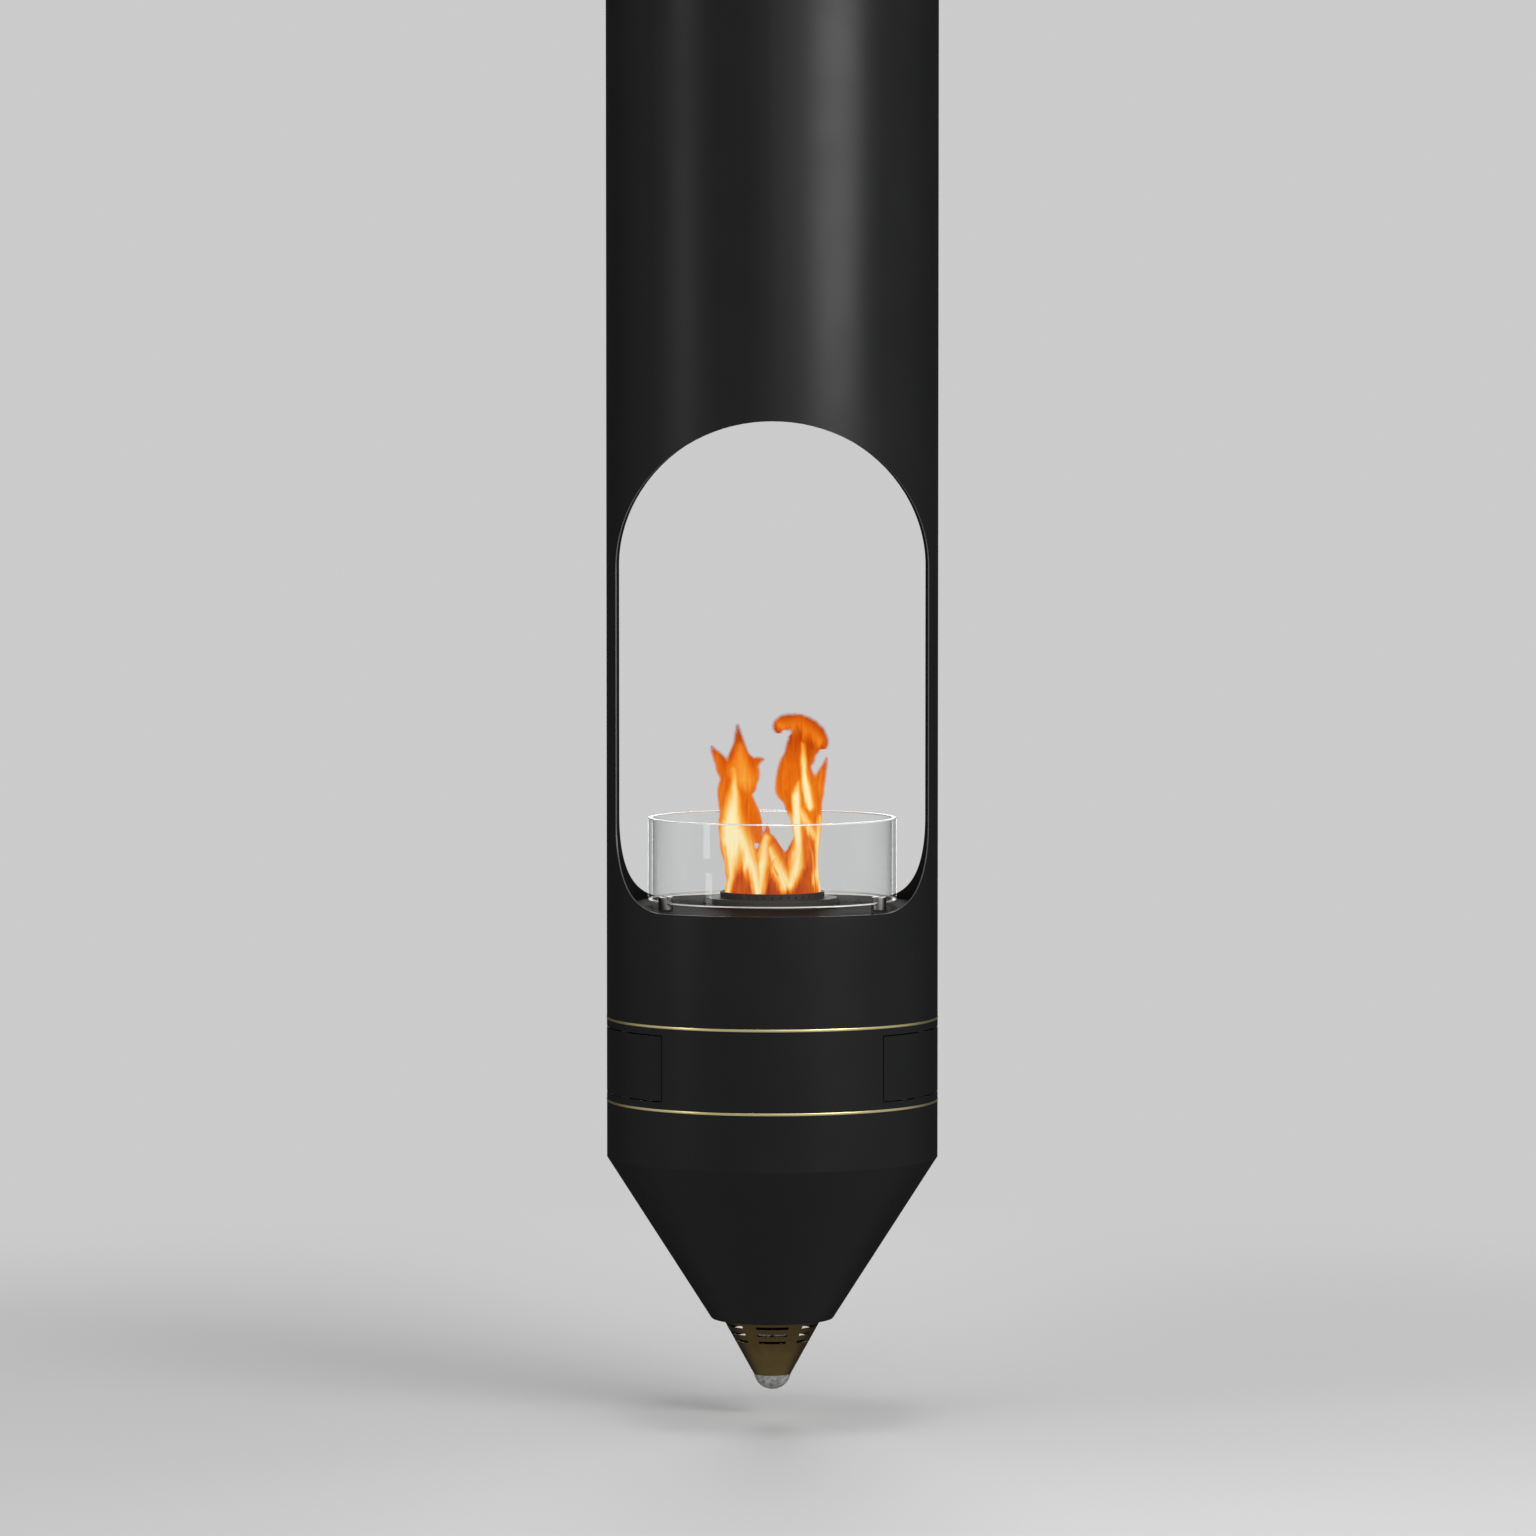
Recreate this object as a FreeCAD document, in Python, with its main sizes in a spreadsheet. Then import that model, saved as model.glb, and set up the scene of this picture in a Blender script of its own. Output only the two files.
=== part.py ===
"""Ceiling-hung bioethanol fireplace: a steel tube with a see-through fire opening that ends in a cone.

Millimetres, +Z up. The origin is the centre of the ceiling plate's upper face, and the front faces -Y.
Every piece is built in its own frame, upwards from its lowest level, and placed at that level.
"""
import FreeCAD, Part
import Sketcher
import math
import os
import re

Vector = FreeCAD.Vector
UP = Vector(0, 0, 1)
FULL_TURN = 360

# Sizes that can be set by themselves, in millimetres. Angles end in _angle, in degrees, and counts in _count.
SIZES = {
    # The tube: an upper length to the ceiling, and the lower length that holds the fire opening
    "tube_radius": 200,
    "tube_wall": 2,
    "extension_length": 650,
    "fire_tube_length": 1262,
    "fit_gap": 0.3,
    "running_gap": 0.05,
    "overrun": 1,
    # Ceiling plate, its collar and the ring in the tube joint
    "ceiling_plate_thickness": 6,
    "ceiling_bolt_circle": 280,
    "ceiling_bolt_hole": 11,
    "ceiling_bolt_count": 4,
    "collar_height": 60,
    "collar_wall": 4,
    "coupler_height": 80,
    # Button-head screws through the tube
    "tube_screw_count": 8,
    "tube_screw_radius": 3,
    "tube_screw_head_radius": 5.5,
    "tube_screw_head_height": 3,
    "tube_screw_drop": 34,
    "coupler_screw_offset": 22,
    # Fire opening: half the arc that it takes, its heights, and the round of its lower corners
    "opening_half_angle": 70,
    "opening_height": 584.5,
    "arch_rise": 175.5,
    "corner_radius": 102,
    "sill_height": 133.5,
    # Heat baffle above the arch
    "baffle_rise": 90,
    "baffle_sheet": 1.5,
    "baffle_rim": 20,
    "baffle_gap": 0.8,
    "baffle_hook_count": 4,
    "baffle_hook_angle": 8,
    "baffle_hook_leg": 28,
    "baffle_hook_sheet": 2,
    # Hearth plate and the ledge welded inside the tube
    "plate_thickness": 4,
    "ledge_width": 16,
    "ledge_depth": 15,
    "ledge_sheet": 3,
    "ledge_screw_count": 4,
    "ledge_screw_inset": 9,
    "plate_screw_bite": 3,
    # Pan-head screws of the plate, the posts and the tank straps
    "pan_screw_radius": 2.5,
    "pan_head_radius": 4.5,
    "pan_head_height": 3,
    # Glass cylinder and its slotted posts
    "glass_inset": 50,
    "glass_wall": 5,
    "glass_height": 100,
    "glass_lift": 6.5,
    "glass_edge_round": 1.2,
    "post_count": 3,
    "post_radius": 9,
    "post_height": 15,
    "post_slot_play": 0.5,
    "post_edge": 0.8,
    "pad_thickness": 1,
    "pad_angle": 5,
    "post_screw_bite": 4,
    # Burner: fuel tray, wick, screen, cover disc and perforated crown
    "tray_radius": 60,
    "tray_depth": 45,
    "tray_wall": 1.5,
    "tray_flange_radius": 76,
    "tray_play": 0.5,
    "wick_height": 40,
    "wick_play": 0.5,
    "screen_thickness": 1,
    "screen_hole_radius": 2.6,
    "screen_ring_pitch": 10,
    "screen_ring_count": 5,
    "disc_radius": 82,
    "disc_height": 9.6,
    "disc_land": 4,
    "disc_bevel": 4,
    "crown_radius": 63,
    "crown_wall": 1.5,
    "crown_height": 15.5,
    "crown_bead": 1.6,
    "crown_hole_radius": 1.5,
    "crown_hole_count": 40,
    "crown_hole_drop": 4.6,
    # Igniter, flame sensor and the heat insulation under the burner
    "probe_offset": 40,
    "igniter_radius": 3,
    "igniter_rise": 4,
    "sensor_radius": 1.6,
    "sensor_rise": 10,
    "probe_body_radius": 8,
    "probe_body_height": 24,
    "insulation_inset": 45,
    "insulation_thickness": 25,
    # Polished rings, inner flanges and bulkheads that join the shells
    "ring_height": 3,
    "ring_seat_depth": 5,
    "ring_proud": 0.3,
    "ring_round": 0.5,
    "flange_width": 18,
    "flange_thickness": 4,
    "joint_bolt_count": 8,
    "joint_bolt_inset": 9.2,
    "bolt_radius": 4,
    "bolt_hole_play": 0.3,
    "nut_radius": 7,
    "nut_height": 6.5,
    # Service band with its hatch on each side
    "band_height": 96.5,
    "window_margin": 8.25,
    "window_half_angle": 48.9,
    "hatch_gap": 1.5,
    "hinge_depth": 4,
    "hinge_inset": 13.5,
    "hinge_pin_radius": 2.5,
    "knuckle_radius": 5,
    "knuckle_height": 16,
    "knuckle_neck_radius": 3.7,
    # Push latches
    "latch_angle": 40,
    "latch_gap": 8,
    "latch_length": 40,
    "latch_block": 28,
    "latch_width": 14,
    "latch_drop": 17,
    "latch_barrel": 6,
    "plunger_radius": 3.5,
    "plunger_length": 33,
    "plunger_travel": 3,
    # Partition plates and tie rods between the bulkheads
    "partition_gap": 2,
    "partition_sheet": 1.5,
    "partition_flange": 12,
    "partition_inset": 47,
    "rod_x": 48,
    "rod_inset": 37,
    # Fuel tank, its straps, filler neck and cap
    "tank_inset": 80,
    "tank_height": 80,
    "tank_bevel": 10,
    "tank_wall": 1.5,
    "strap_offset": 50,
    "strap_width": 20,
    "strap_sheet": 2,
    "strap_ear": 22,
    "neck_inset": 28,
    "neck_radius": 16,
    "neck_wall": 1.5,
    "neck_rise": 26,
    "neck_bend": 34,
    "neck_angle": 45,
    "neck_run": 22,
    "cap_radius": 21,
    "cap_height": 18,
    "cap_grip": 12,
    "cap_rib_count": 12,
    "cap_rib_radius": 3,
    # Level gauge
    "gauge_inset": 50,
    "gauge_radius": 2.5,
    "gauge_head_radius": 12,
    "gauge_head_height": 5,
    "gauge_clear": 8,
    "gauge_stop_radius": 6,
    "gauge_stop_height": 3,
    "float_radius": 15,
    "float_height": 18,
    # Pump and pipes
    "pump_width": 40,
    "pump_length": 46,
    "pump_base_height": 28,
    "pump_motor_radius": 13,
    "pump_motor_height": 38,
    "pump_motor_inset": 16,
    "pump_port_inset": 10,
    "pipe_radius": 3,
    "pipe_bore": 2,
    "pipe_foot": 10,
    # Control box, its panel, switch, button and socket, and the battery
    "box_inset": 1,
    "box_depth": 53,
    "box_front": 52,
    "box_rear": 30,
    "box_height": 72,
    "box_wall": 2,
    "panel_thickness": 2,
    "switch_y": -30,
    "switch_rise": 38,
    "switch_width": 12,
    "switch_half_height": 7.5,
    "switch_play": 0.3,
    "switch_tip": 7.4,
    "switch_hollow": 4.6,
    "switch_back": 2,
    "switch_pivot_depth": 4,
    "switch_swing_play": 1.4,
    "button_y": -4,
    "button_rise": 46,
    "button_radius": 8,
    "button_proud": 3,
    "button_flange": 1.8,
    "button_flange_width": 2,
    "socket_y": 16,
    "socket_rise": 22,
    "socket_radius": 6,
    "socket_bore": 3,
    "socket_depth": 12,
    "socket_proud": 1.5,
    "battery_gap": 4,
    "battery_depth": 50,
    "battery_width": 60,
    "battery_height": 62,
    "battery_edge": 3,
    # Lower shell and cone
    "lower_shell_height": 67.5,
    "cone_height": 197.5,
    "cone_end_radius": 73.6,
    "cone_wall": 2.4,
    "cone_edge_round": 2,
    "spigot_height": 18,
    "spigot_wall": 3,
    "cone_base_thickness": 3,
    # Slotted lamp tip
    "lamp_top_radius": 60,
    "lamp_end_radius": 22.2,
    "lamp_height": 68.4,
    "lamp_wall": 2.8,
    "lamp_spigot_radius": 45,
    "lamp_spigot_height": 12,
    "lamp_spigot_wall": 3,
    "slot_drop": 6.8,
    "slot_pitch": 9.2,
    "slot_height": 3.2,
    "slot_tier_count": 3,
    "slot_count": 6,
    "slot_angle": 41,
    "dome_height": 18.6,
    "dome_wall": 4,
    "dome_neck_height": 5,
    "dome_neck_wall": 2,
    "heatsink_rise": 8,
    "heatsink_foot": 5,
    "heatsink_stem_radius": 9,
    "heatsink_fin_radius": 21,
    "heatsink_fin_sheet": 2,
    "heatsink_fin_pitch": 7,
    "heatsink_fin_count": 5,
    "led_board_radius": 16,
    "led_board_thickness": 1.6,
    "led_radius": 5,
    "led_height": 1.8,
    # Lead from the control box to the lamp
    "lead_radius": 2,
    "lead_box_rise": 50,
    "lead_side_run": 40,
    "lead_tank_side": 23.4,
    "lead_tank_clear": 14,
    "lead_centre_rise": 66,
}

# Places worked out from the sizes, in the order in which they build on each other.
PLACES = {
    "tube_bore": "tube_radius - tube_wall",
    "inner_fit": "tube_bore - fit_gap",
    "extension_end": "-extension_length",
    "tube_end": "extension_end - fire_tube_length",
    "sill_level": "tube_end + sill_height",
    "arch_top": "sill_level + opening_height",
    "spring_level": "arch_top - arch_rise",
    "baffle_level": "arch_top + baffle_rise",
    "plate_base": "sill_level - plate_thickness",
    "ledge_screw_radius": "inner_fit - ledge_screw_inset",
    "glass_radius": "tube_radius - glass_inset",
    "post_circle": "glass_radius - glass_wall / 2",
    "glass_base": "sill_level + glass_lift",
    "slot_floor": "glass_lift - pad_thickness",
    "crown_bore": "crown_radius - crown_wall",
    "band_top": "tube_end - ring_height",
    "band_end": "band_top - band_height",
    "shell_top": "band_end - ring_height",
    "shell_end": "shell_top - lower_shell_height",
    "cone_end": "shell_end - cone_height",
    "lamp_end": "cone_end - lamp_height",
    "ring_seat_radius": "tube_radius - ring_seat_depth",
    "insulation_radius": "ring_seat_radius - insulation_inset",
    "joint_bolt_circle_radius": "inner_fit - joint_bolt_inset",
    "rod_y": "ring_seat_radius - rod_inset",
    "window_height": "band_height - 2 * window_margin",
    "hatch_base": "window_margin + hatch_gap",
    "hatch_height": "window_height - 2 * hatch_gap",
    "hatch_angle": "2 * (window_half_angle - hatch_gap / tube_radius * 180 / pi)",
    "hinge_radius": "tube_bore - hinge_depth",
    "hinge_angle": "window_half_angle - (hatch_gap / tube_radius + hinge_inset / hinge_radius) * 180 / pi",
    "hinge_x": "hinge_radius * cos(hinge_angle)",
    "hinge_y": "hinge_radius * sin(hinge_angle)",
    "latch_reach": "tube_bore - latch_gap",
    "latch_back": "latch_reach - latch_length",
    "hole_of_bolt": "bolt_radius + bolt_hole_play",
    "hole_of_pan_screw": "pan_screw_radius + bolt_hole_play",
    "tank_radius": "tube_radius - tank_inset",
    "gauge_y": "tank_radius - gauge_inset",
    "neck_offset": "tank_radius - neck_inset",
    "partition_length": "2 * (ring_seat_radius - partition_inset)",
    "partition_offset": "neck_offset - neck_radius - partition_flange - partition_gap",
    "strap_half": "sqrt(tank_radius ^ 2 - (strap_offset - strap_width / 2) ^ 2) + fit_gap",
    "strap_screw_x": "strap_half + strap_sheet + strap_ear / 2",
    "port_y": "-pump_length + pump_port_inset",
    "neck_mouth_x": "-neck_offset - neck_bend * (1 - cos(neck_angle)) - neck_run * sin(neck_angle)",
    "neck_mouth_level": "shell_top + neck_rise + neck_bend * sin(neck_angle) + neck_run * cos(neck_angle)",
    "box_x": "partition_offset + partition_flange + box_inset",
    "panel_x": "box_x + box_depth",
    "switch_pivot_x": "panel_x - switch_pivot_depth",
    "lead_y": "-box_front - lead_side_run",
    "lead_x": "sqrt((tank_radius + lead_tank_side) ^ 2 - lead_y ^ 2)",
    "lamp_slope_share": "(lamp_top_radius - lamp_end_radius) / lamp_height",
    "dome_sphere_radius": "(lamp_end_radius ^ 2 + dome_height ^ 2) / (2 * dome_height)",
    "dome_neck_radius": "lamp_end_radius - lamp_wall - fit_gap",
}

doc = FreeCAD.newDocument("fireplace")
sheet = doc.addObject("Spreadsheet::Sheet", "Sizes")
for row, (name, number) in enumerate(SIZES.items(), start=1):
    sheet.set(f"A{row}", str(number))
    sheet.setAlias(f"A{row}", name)
for row, (name, formula) in enumerate(PLACES.items(), start=1):
    sheet.set(f"B{row}", "=" + formula)
    sheet.setAlias(f"B{row}", name)
doc.recompute()

pieces = {}


def bound(text):
    """An expression on the sheet, from one that uses the plain names of sizes and places."""
    return re.sub(r"[a-z_]+", lambda m: "Sizes." + m[0] if m[0] in SIZES or m[0] in PLACES else m[0], text)


def size(name):
    """The number that a size or place has in the sheet."""
    return float(sheet.get(name))


def body(label, level, turn=0):
    """A new named piece whose own zero level lies at the given level, turned about Z by some degrees."""
    piece = doc.addObject("PartDesign::Body", label)
    piece.Label = label
    piece.AllowCompound = True
    piece.Placement = FreeCAD.Placement(Vector(), FreeCAD.Rotation(UP, turn))
    piece.setExpression("Placement.Base.z", bound(level))
    pieces[label] = piece
    return piece


def origin_part(piece, role):
    return next(feature for feature in piece.Origin.OriginFeatures if feature.Role == role)


def sketch(piece, plane="XY_Plane", lift="0", rise="0"):
    """A sketch on an origin plane, moved off it by lift, and up along its own second axis by rise."""
    drawing = piece.newObject("Sketcher::SketchObject", piece.Name + "_sketch")
    drawing.AttachmentSupport = (origin_part(piece, plane), [""])
    drawing.MapMode = "FlatFace"
    drawing.setExpression("AttachmentOffset.Base.z", bound(lift))
    drawing.setExpression("AttachmentOffset.Base.y", bound(rise))
    return drawing


def hold(drawing, line, end, x, y):
    """Tie a point of a sketch to two expressions."""
    for kind, place, axis in (("DistanceX", x, -2), ("DistanceY", y, -1)):
        if place == "0":
            drawing.addConstraint(Sketcher.Constraint("PointOnObject", line, end, axis))
        else:
            index = drawing.addConstraint(Sketcher.Constraint(kind, -1, 1, line, end, 1.0))
            drawing.setExpression(f"Constraints[{index}]", bound(place))


def circle(drawing, radius, x="0", y="0"):
    line = drawing.addGeometry(Part.Circle(Vector(), UP, 1))
    index = drawing.addConstraint(Sketcher.Constraint("Radius", line, 1.0))
    drawing.setExpression(f"Constraints[{index}]", bound(radius))
    if (x, y) == ("0", "0"):
        drawing.addConstraint(Sketcher.Constraint("Coincident", line, 3, -1, 1))
    else:
        hold(drawing, line, 3, x, y)


def polygon(drawing, corners):
    """A closed outline of straight lines through corners that are each tied to two expressions."""
    count = len(corners)
    first = drawing.GeometryCount
    turns = [2 * math.pi * i / count for i in range(count)]
    spots = [Vector(math.cos(turn), math.sin(turn), 0) for turn in turns]
    for i in range(count):
        drawing.addGeometry(Part.LineSegment(spots[i], spots[(i + 1) % count]))
    for i in range(count):
        drawing.addConstraint(Sketcher.Constraint("Coincident", first + i, 2, first + (i + 1) % count, 1))
    for i, (x, y) in enumerate(corners):
        hold(drawing, first + i, 1, x, y)


def rectangle(drawing, x, y, width, height):
    right = f"{x} + {width}"
    top = f"{y} + {height}"
    polygon(drawing, [(x, y), (right, y), (right, top), (x, top)])


def hexagon(drawing, radius, x, y):
    polygon(drawing, [(f"{x} + {radius} * cos({60 * i})", f"{y} + {radius} * sin({60 * i})") for i in range(6)])


def feature(piece, kind, drawing, **values):
    """A sketch-based feature, its values set or, where they are text, bound to an expression."""
    step = piece.newObject("PartDesign::" + kind, piece.Name + "_" + kind.lower())
    step.Profile = drawing
    for name, value in values.items():
        if isinstance(value, str):
            step.setExpression(name, bound(value))
        else:
            setattr(step, name, value)
    drawing.Visibility = False
    return step


def pad(piece, drawing, length, both_ways=False):
    return feature(piece, "Pad", drawing, Length=length, Midplane=both_ways)


def pocket(piece, drawing, depth, both_ways=False, other_way=False):
    return feature(piece, "Pocket", drawing, Length=depth, Midplane=both_ways, Reversed=other_way)


def revolve(piece, drawing, angle=FULL_TURN, axis="V_Axis", cut=False):
    kind = "Groove" if cut else "Revolution"
    return feature(piece, kind, drawing, ReferenceAxis=(drawing, [axis]), Angle=angle, Midplane=True)


def repeat(piece, steps, count, angle=FULL_TURN):
    """Copies of some features around the piece's Z axis."""
    pattern = piece.newObject("PartDesign::PolarPattern", piece.Name + "_pattern")
    pattern.Originals = steps
    pattern.Axis = (origin_part(piece, "Z_Axis"), [""])
    pattern.setExpression("Occurrences", bound(count))
    if isinstance(angle, str):
        pattern.setExpression("Angle", bound(angle))
    else:
        pattern.Angle = angle
    piece.Tip = pattern
    return pattern


def mirror(piece, steps, plane):
    other = piece.newObject("PartDesign::Mirrored", piece.Name + "_mirror")
    other.Originals = steps
    other.MirrorPlane = (origin_part(piece, plane), [""])
    piece.Tip = other
    return other


def round_edges(piece, step, radius, wanted):
    """Round the full-circle edges of the last feature for which wanted(edge) is true."""
    doc.recompute()
    names = []
    for i, edge in enumerate(step.Shape.Edges, start=1):
        if isinstance(edge.Curve, Part.Circle) and edge.isClosed() and wanted(edge):
            names.append(f"Edge{i}")
    fillet = piece.newObject("PartDesign::Fillet", piece.Name + "_round")
    fillet.Base = (step, names)
    fillet.setExpression("Radius", bound(radius))
    return fillet


def ring(piece, outer, inner, height, lift="0"):
    drawing = sketch(piece, lift=lift)
    circle(drawing, outer)
    circle(drawing, inner)
    return pad(piece, drawing, height)


def around(radius, count, start=0):
    """Places on a circle, as expressions, for a count that is a size."""
    number = int(size(count))
    turns = [f"({start} + {FULL_TURN * i} / {count})" for i in range(number)]
    return [(f"{radius} * cos({turn})", f"{radius} * sin({turn})") for turn in turns]


def bars(piece, radius, length, places, lift="0"):
    """Upright round bars at some places."""
    drawing = sketch(piece, lift=lift)
    for x, y in places:
        circle(drawing, radius, x, y)
    return pad(piece, drawing, length)


def holes(piece, radius, depth, places, lift="0"):
    """Round holes at some places, cut down from the level of lift."""
    drawing = sketch(piece, lift=lift)
    for x, y in places:
        circle(drawing, radius, x, y)
    return pocket(piece, drawing, depth)


def side_holes(piece, radius, level, count, outer, wall):
    """A row of round holes through a tube's wall, the first one on the X axis."""
    drawing = sketch(piece, "YZ_Plane", lift=f"{outer} + overrun")
    circle(drawing, radius, "0", level)
    hole = pocket(piece, drawing, f"{wall} + 2 * overrun")
    return repeat(piece, [hole], count)


def screw_holes(piece, level, outer="tube_radius", wall="tube_wall"):
    side_holes(piece, "tube_screw_radius + running_gap", level, "tube_screw_count", outer, wall)


def shaped(label, shape):
    """A piece whose shape is worked out here from the sizes in the sheet."""
    piece = doc.addObject("Part::Feature", label)
    piece.Label = label
    piece.Shape = shape
    return piece


def bent_bar(points, radii, radius):
    """A round bar along straight runs that are joined by tangent arcs, one radius for each inner point."""
    edges = []
    start = points[0]
    for before, corner, after, bend in zip(points, points[1:], points[2:], radii):
        inward = (corner - before).normalize()
        outward = (after - corner).normalize()
        half_turn = inward.getAngle(outward) / 2
        reach = bend * math.tan(half_turn)
        leave = corner - inward * reach
        land = corner + outward * reach
        centre_side = (outward - inward).normalize()
        middle = corner + centre_side * (bend / math.cos(half_turn) - bend)
        edges.append(Part.LineSegment(start, leave).toShape())
        edges.append(Part.Arc(leave, middle, land).toShape())
        start = land
    edges.append(Part.LineSegment(start, points[-1]).toShape())
    face = Part.Face(Part.Wire(Part.makeCircle(radius, points[0], points[1] - points[0])))
    return Part.Wire(edges).makePipe(face)


JOINT_BOLTS = around("joint_bolt_circle_radius", "joint_bolt_count", start="180 / joint_bolt_count")
RODS = [(f"{x}rod_x", f"{y}rod_y") for x in ("", "-") for y in ("", "-")]
HINGES = [("hinge_x", "hinge_y"), ("-hinge_x", "hinge_y")]
LEDGE_SCREWS = around("ledge_screw_radius", "ledge_screw_count", start="180 / ledge_screw_count")
POSTS = around("post_circle", "post_count", start=90)
PROBES = [("probe_offset", "0"), ("-probe_offset", "0")]
STRAP_SCREWS = [(f"{x}strap_screw_x", f"{y}strap_offset") for x in ("", "-") for y in ("", "-")]


def ceiling():
    """The plate that is bolted to the ceiling, and the collar under it that the tube is screwed to."""
    plate = body("ceiling_plate", "-ceiling_plate_thickness")
    drawing = sketch(plate)
    circle(drawing, "inner_fit")
    for x, y in around("ceiling_bolt_circle / 2", "ceiling_bolt_count", start="180 / ceiling_bolt_count"):
        circle(drawing, "ceiling_bolt_hole / 2", x, y)
    pad(plate, drawing, "ceiling_plate_thickness")
    collar = body("ceiling_collar", "-ceiling_plate_thickness - collar_height")
    ring(collar, "inner_fit", "inner_fit - collar_wall", "collar_height")
    row = "ceiling_plate_thickness + collar_height - tube_screw_drop"
    screw_holes(collar, row, "inner_fit", "collar_wall")


def upper_tube():
    """The upper length of tube, and the ring that joins it to the lower length."""
    tube = body("extension_tube", "extension_end")
    ring(tube, "tube_radius", "tube_bore", "extension_length")
    screw_holes(tube, "extension_length - tube_screw_drop")
    screw_holes(tube, "coupler_screw_offset")
    coupler = body("tube_coupler", "extension_end - coupler_height / 2")
    ring(coupler, "inner_fit", "inner_fit - collar_wall", "coupler_height")
    for row in ("coupler_height / 2 - coupler_screw_offset", "coupler_height / 2 + coupler_screw_offset"):
        screw_holes(coupler, row, "inner_fit", "collar_wall")


def tube_screws():
    """Three rows of button-head screws: one at the ceiling, and one each side of the tube joint."""
    screws = body("tube_screws", "0")
    rows = ("-tube_screw_drop", "extension_end + coupler_screw_offset", "extension_end - coupler_screw_offset")
    for row in rows:
        drawing = sketch(screws, "XZ_Plane", rise=row)
        polygon(drawing, [
            ("inner_fit - collar_wall", "0"),
            ("tube_radius + tube_screw_head_height", "0"),
            ("tube_radius + tube_screw_head_height", "tube_screw_radius"),
            ("tube_radius + tube_screw_head_height / 2", "tube_screw_head_radius"),
            ("tube_radius + running_gap", "tube_screw_head_radius"),
            ("tube_radius + running_gap", "tube_screw_radius"),
            ("inner_fit - collar_wall", "tube_screw_radius"),
        ])
        screw = revolve(screws, drawing, axis="H_Axis")
        repeat(screws, [screw], "tube_screw_count")


def opening_outline(depth):
    """The opening's outline on the plane at the given distance in front of the tube's axis.

    Every point of the outline is seen from the axis in the direction of its angle, so that an outline
    further out is a larger copy, and the faces between two of them are cut radially.
    """
    half_angle = math.radians(size("opening_half_angle"))
    arch_half = math.sin(half_angle)
    corner_radius = size("corner_radius")
    corner_turn = corner_radius / size("tube_radius")
    corner_level = size("sill_level") + corner_radius
    arch_steps = 40
    turn_step = math.pi / arch_steps
    turns = [turn_step * i for i in range(arch_steps + 1)]

    def spot(angle, level, angle_rate, level_rate):
        """A point of the outline, and how fast it moves on as the turn grows."""
        x_rate = depth * angle_rate / math.cos(angle) ** 2
        return Vector(depth * math.tan(angle), -depth, level), Vector(x_rate, 0, level_rate)

    arch = []
    for turn in turns:
        angle = math.asin(arch_half * math.cos(turn))
        level = size("spring_level") + size("arch_rise") * math.sin(turn)
        angle_rate = -arch_half * math.sin(turn) / math.cos(angle)
        arch.append(spot(angle, level, angle_rate, size("arch_rise") * math.cos(turn)))
    right_corner = []
    for turn in turns[:arch_steps // 2 + 1]:
        angle = half_angle - corner_turn * (1 - math.cos(turn))
        level = corner_level - corner_radius * math.sin(turn)
        angle_rate = -corner_turn * math.sin(turn)
        right_corner.append(spot(angle, level, angle_rate, -corner_radius * math.cos(turn)))
    left_corner = [
        (Vector(-point.x, point.y, point.z), Vector(-way.x, 0, way.z)) for point, way in right_corner
    ]
    right_corner = [(point, -way) for point, way in reversed(right_corner)]

    def curve(spots):
        """A smooth curve through points that each have their own way on, one turn step apart."""
        third = turn_step / 3
        poles = [spots[0][0]]
        for (point, way), (next_point, next_way) in zip(spots, spots[1:]):
            poles += [point + way * third, next_point - next_way * third]
        poles.append(spots[-1][0])
        inner_knots = len(spots) - 2
        line = Part.BSplineCurve()
        line.buildFromPolesMultsKnots(poles, [4] + [2] * inner_knots + [4], turns[:len(spots)], False, 3)
        return line.toShape()

    def straight(spots, next_spots):
        return Part.LineSegment(spots[-1][0], next_spots[0][0]).toShape()

    return Part.Wire([
        curve(arch), straight(arch, left_corner),
        curve(left_corner), straight(left_corner, right_corner),
        curve(right_corner), straight(right_corner, arch),
    ])


def fire_tube():
    """The lower length of tube, cut through front and back by the arched fire opening."""
    blank = doc.addObject("PartDesign::Body", "fire_tube_blank")
    blank.setExpression("Placement.Base.z", bound("tube_end"))
    ring(blank, "tube_radius", "tube_bore", "fire_tube_length")
    screw_holes(blank, "fire_tube_length - coupler_screw_offset")
    inside = size("tube_bore") * math.cos(math.radians(size("opening_half_angle"))) / 2
    wires = [opening_outline(inside), opening_outline(size("tube_radius") + size("overrun"))]
    front = Part.makeLoft(wires, True, True)
    back = front.copy()
    back.rotate(Vector(), UP, FULL_TURN / 2)
    cutter = shaped("fire_opening", Part.makeCompound([front, back]))
    tube = doc.addObject("Part::Cut", "fire_tube")
    tube.Label = "fire_tube"
    tube.Base = blank
    tube.Tool = cutter
    pieces["fire_tube"] = tube


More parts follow.
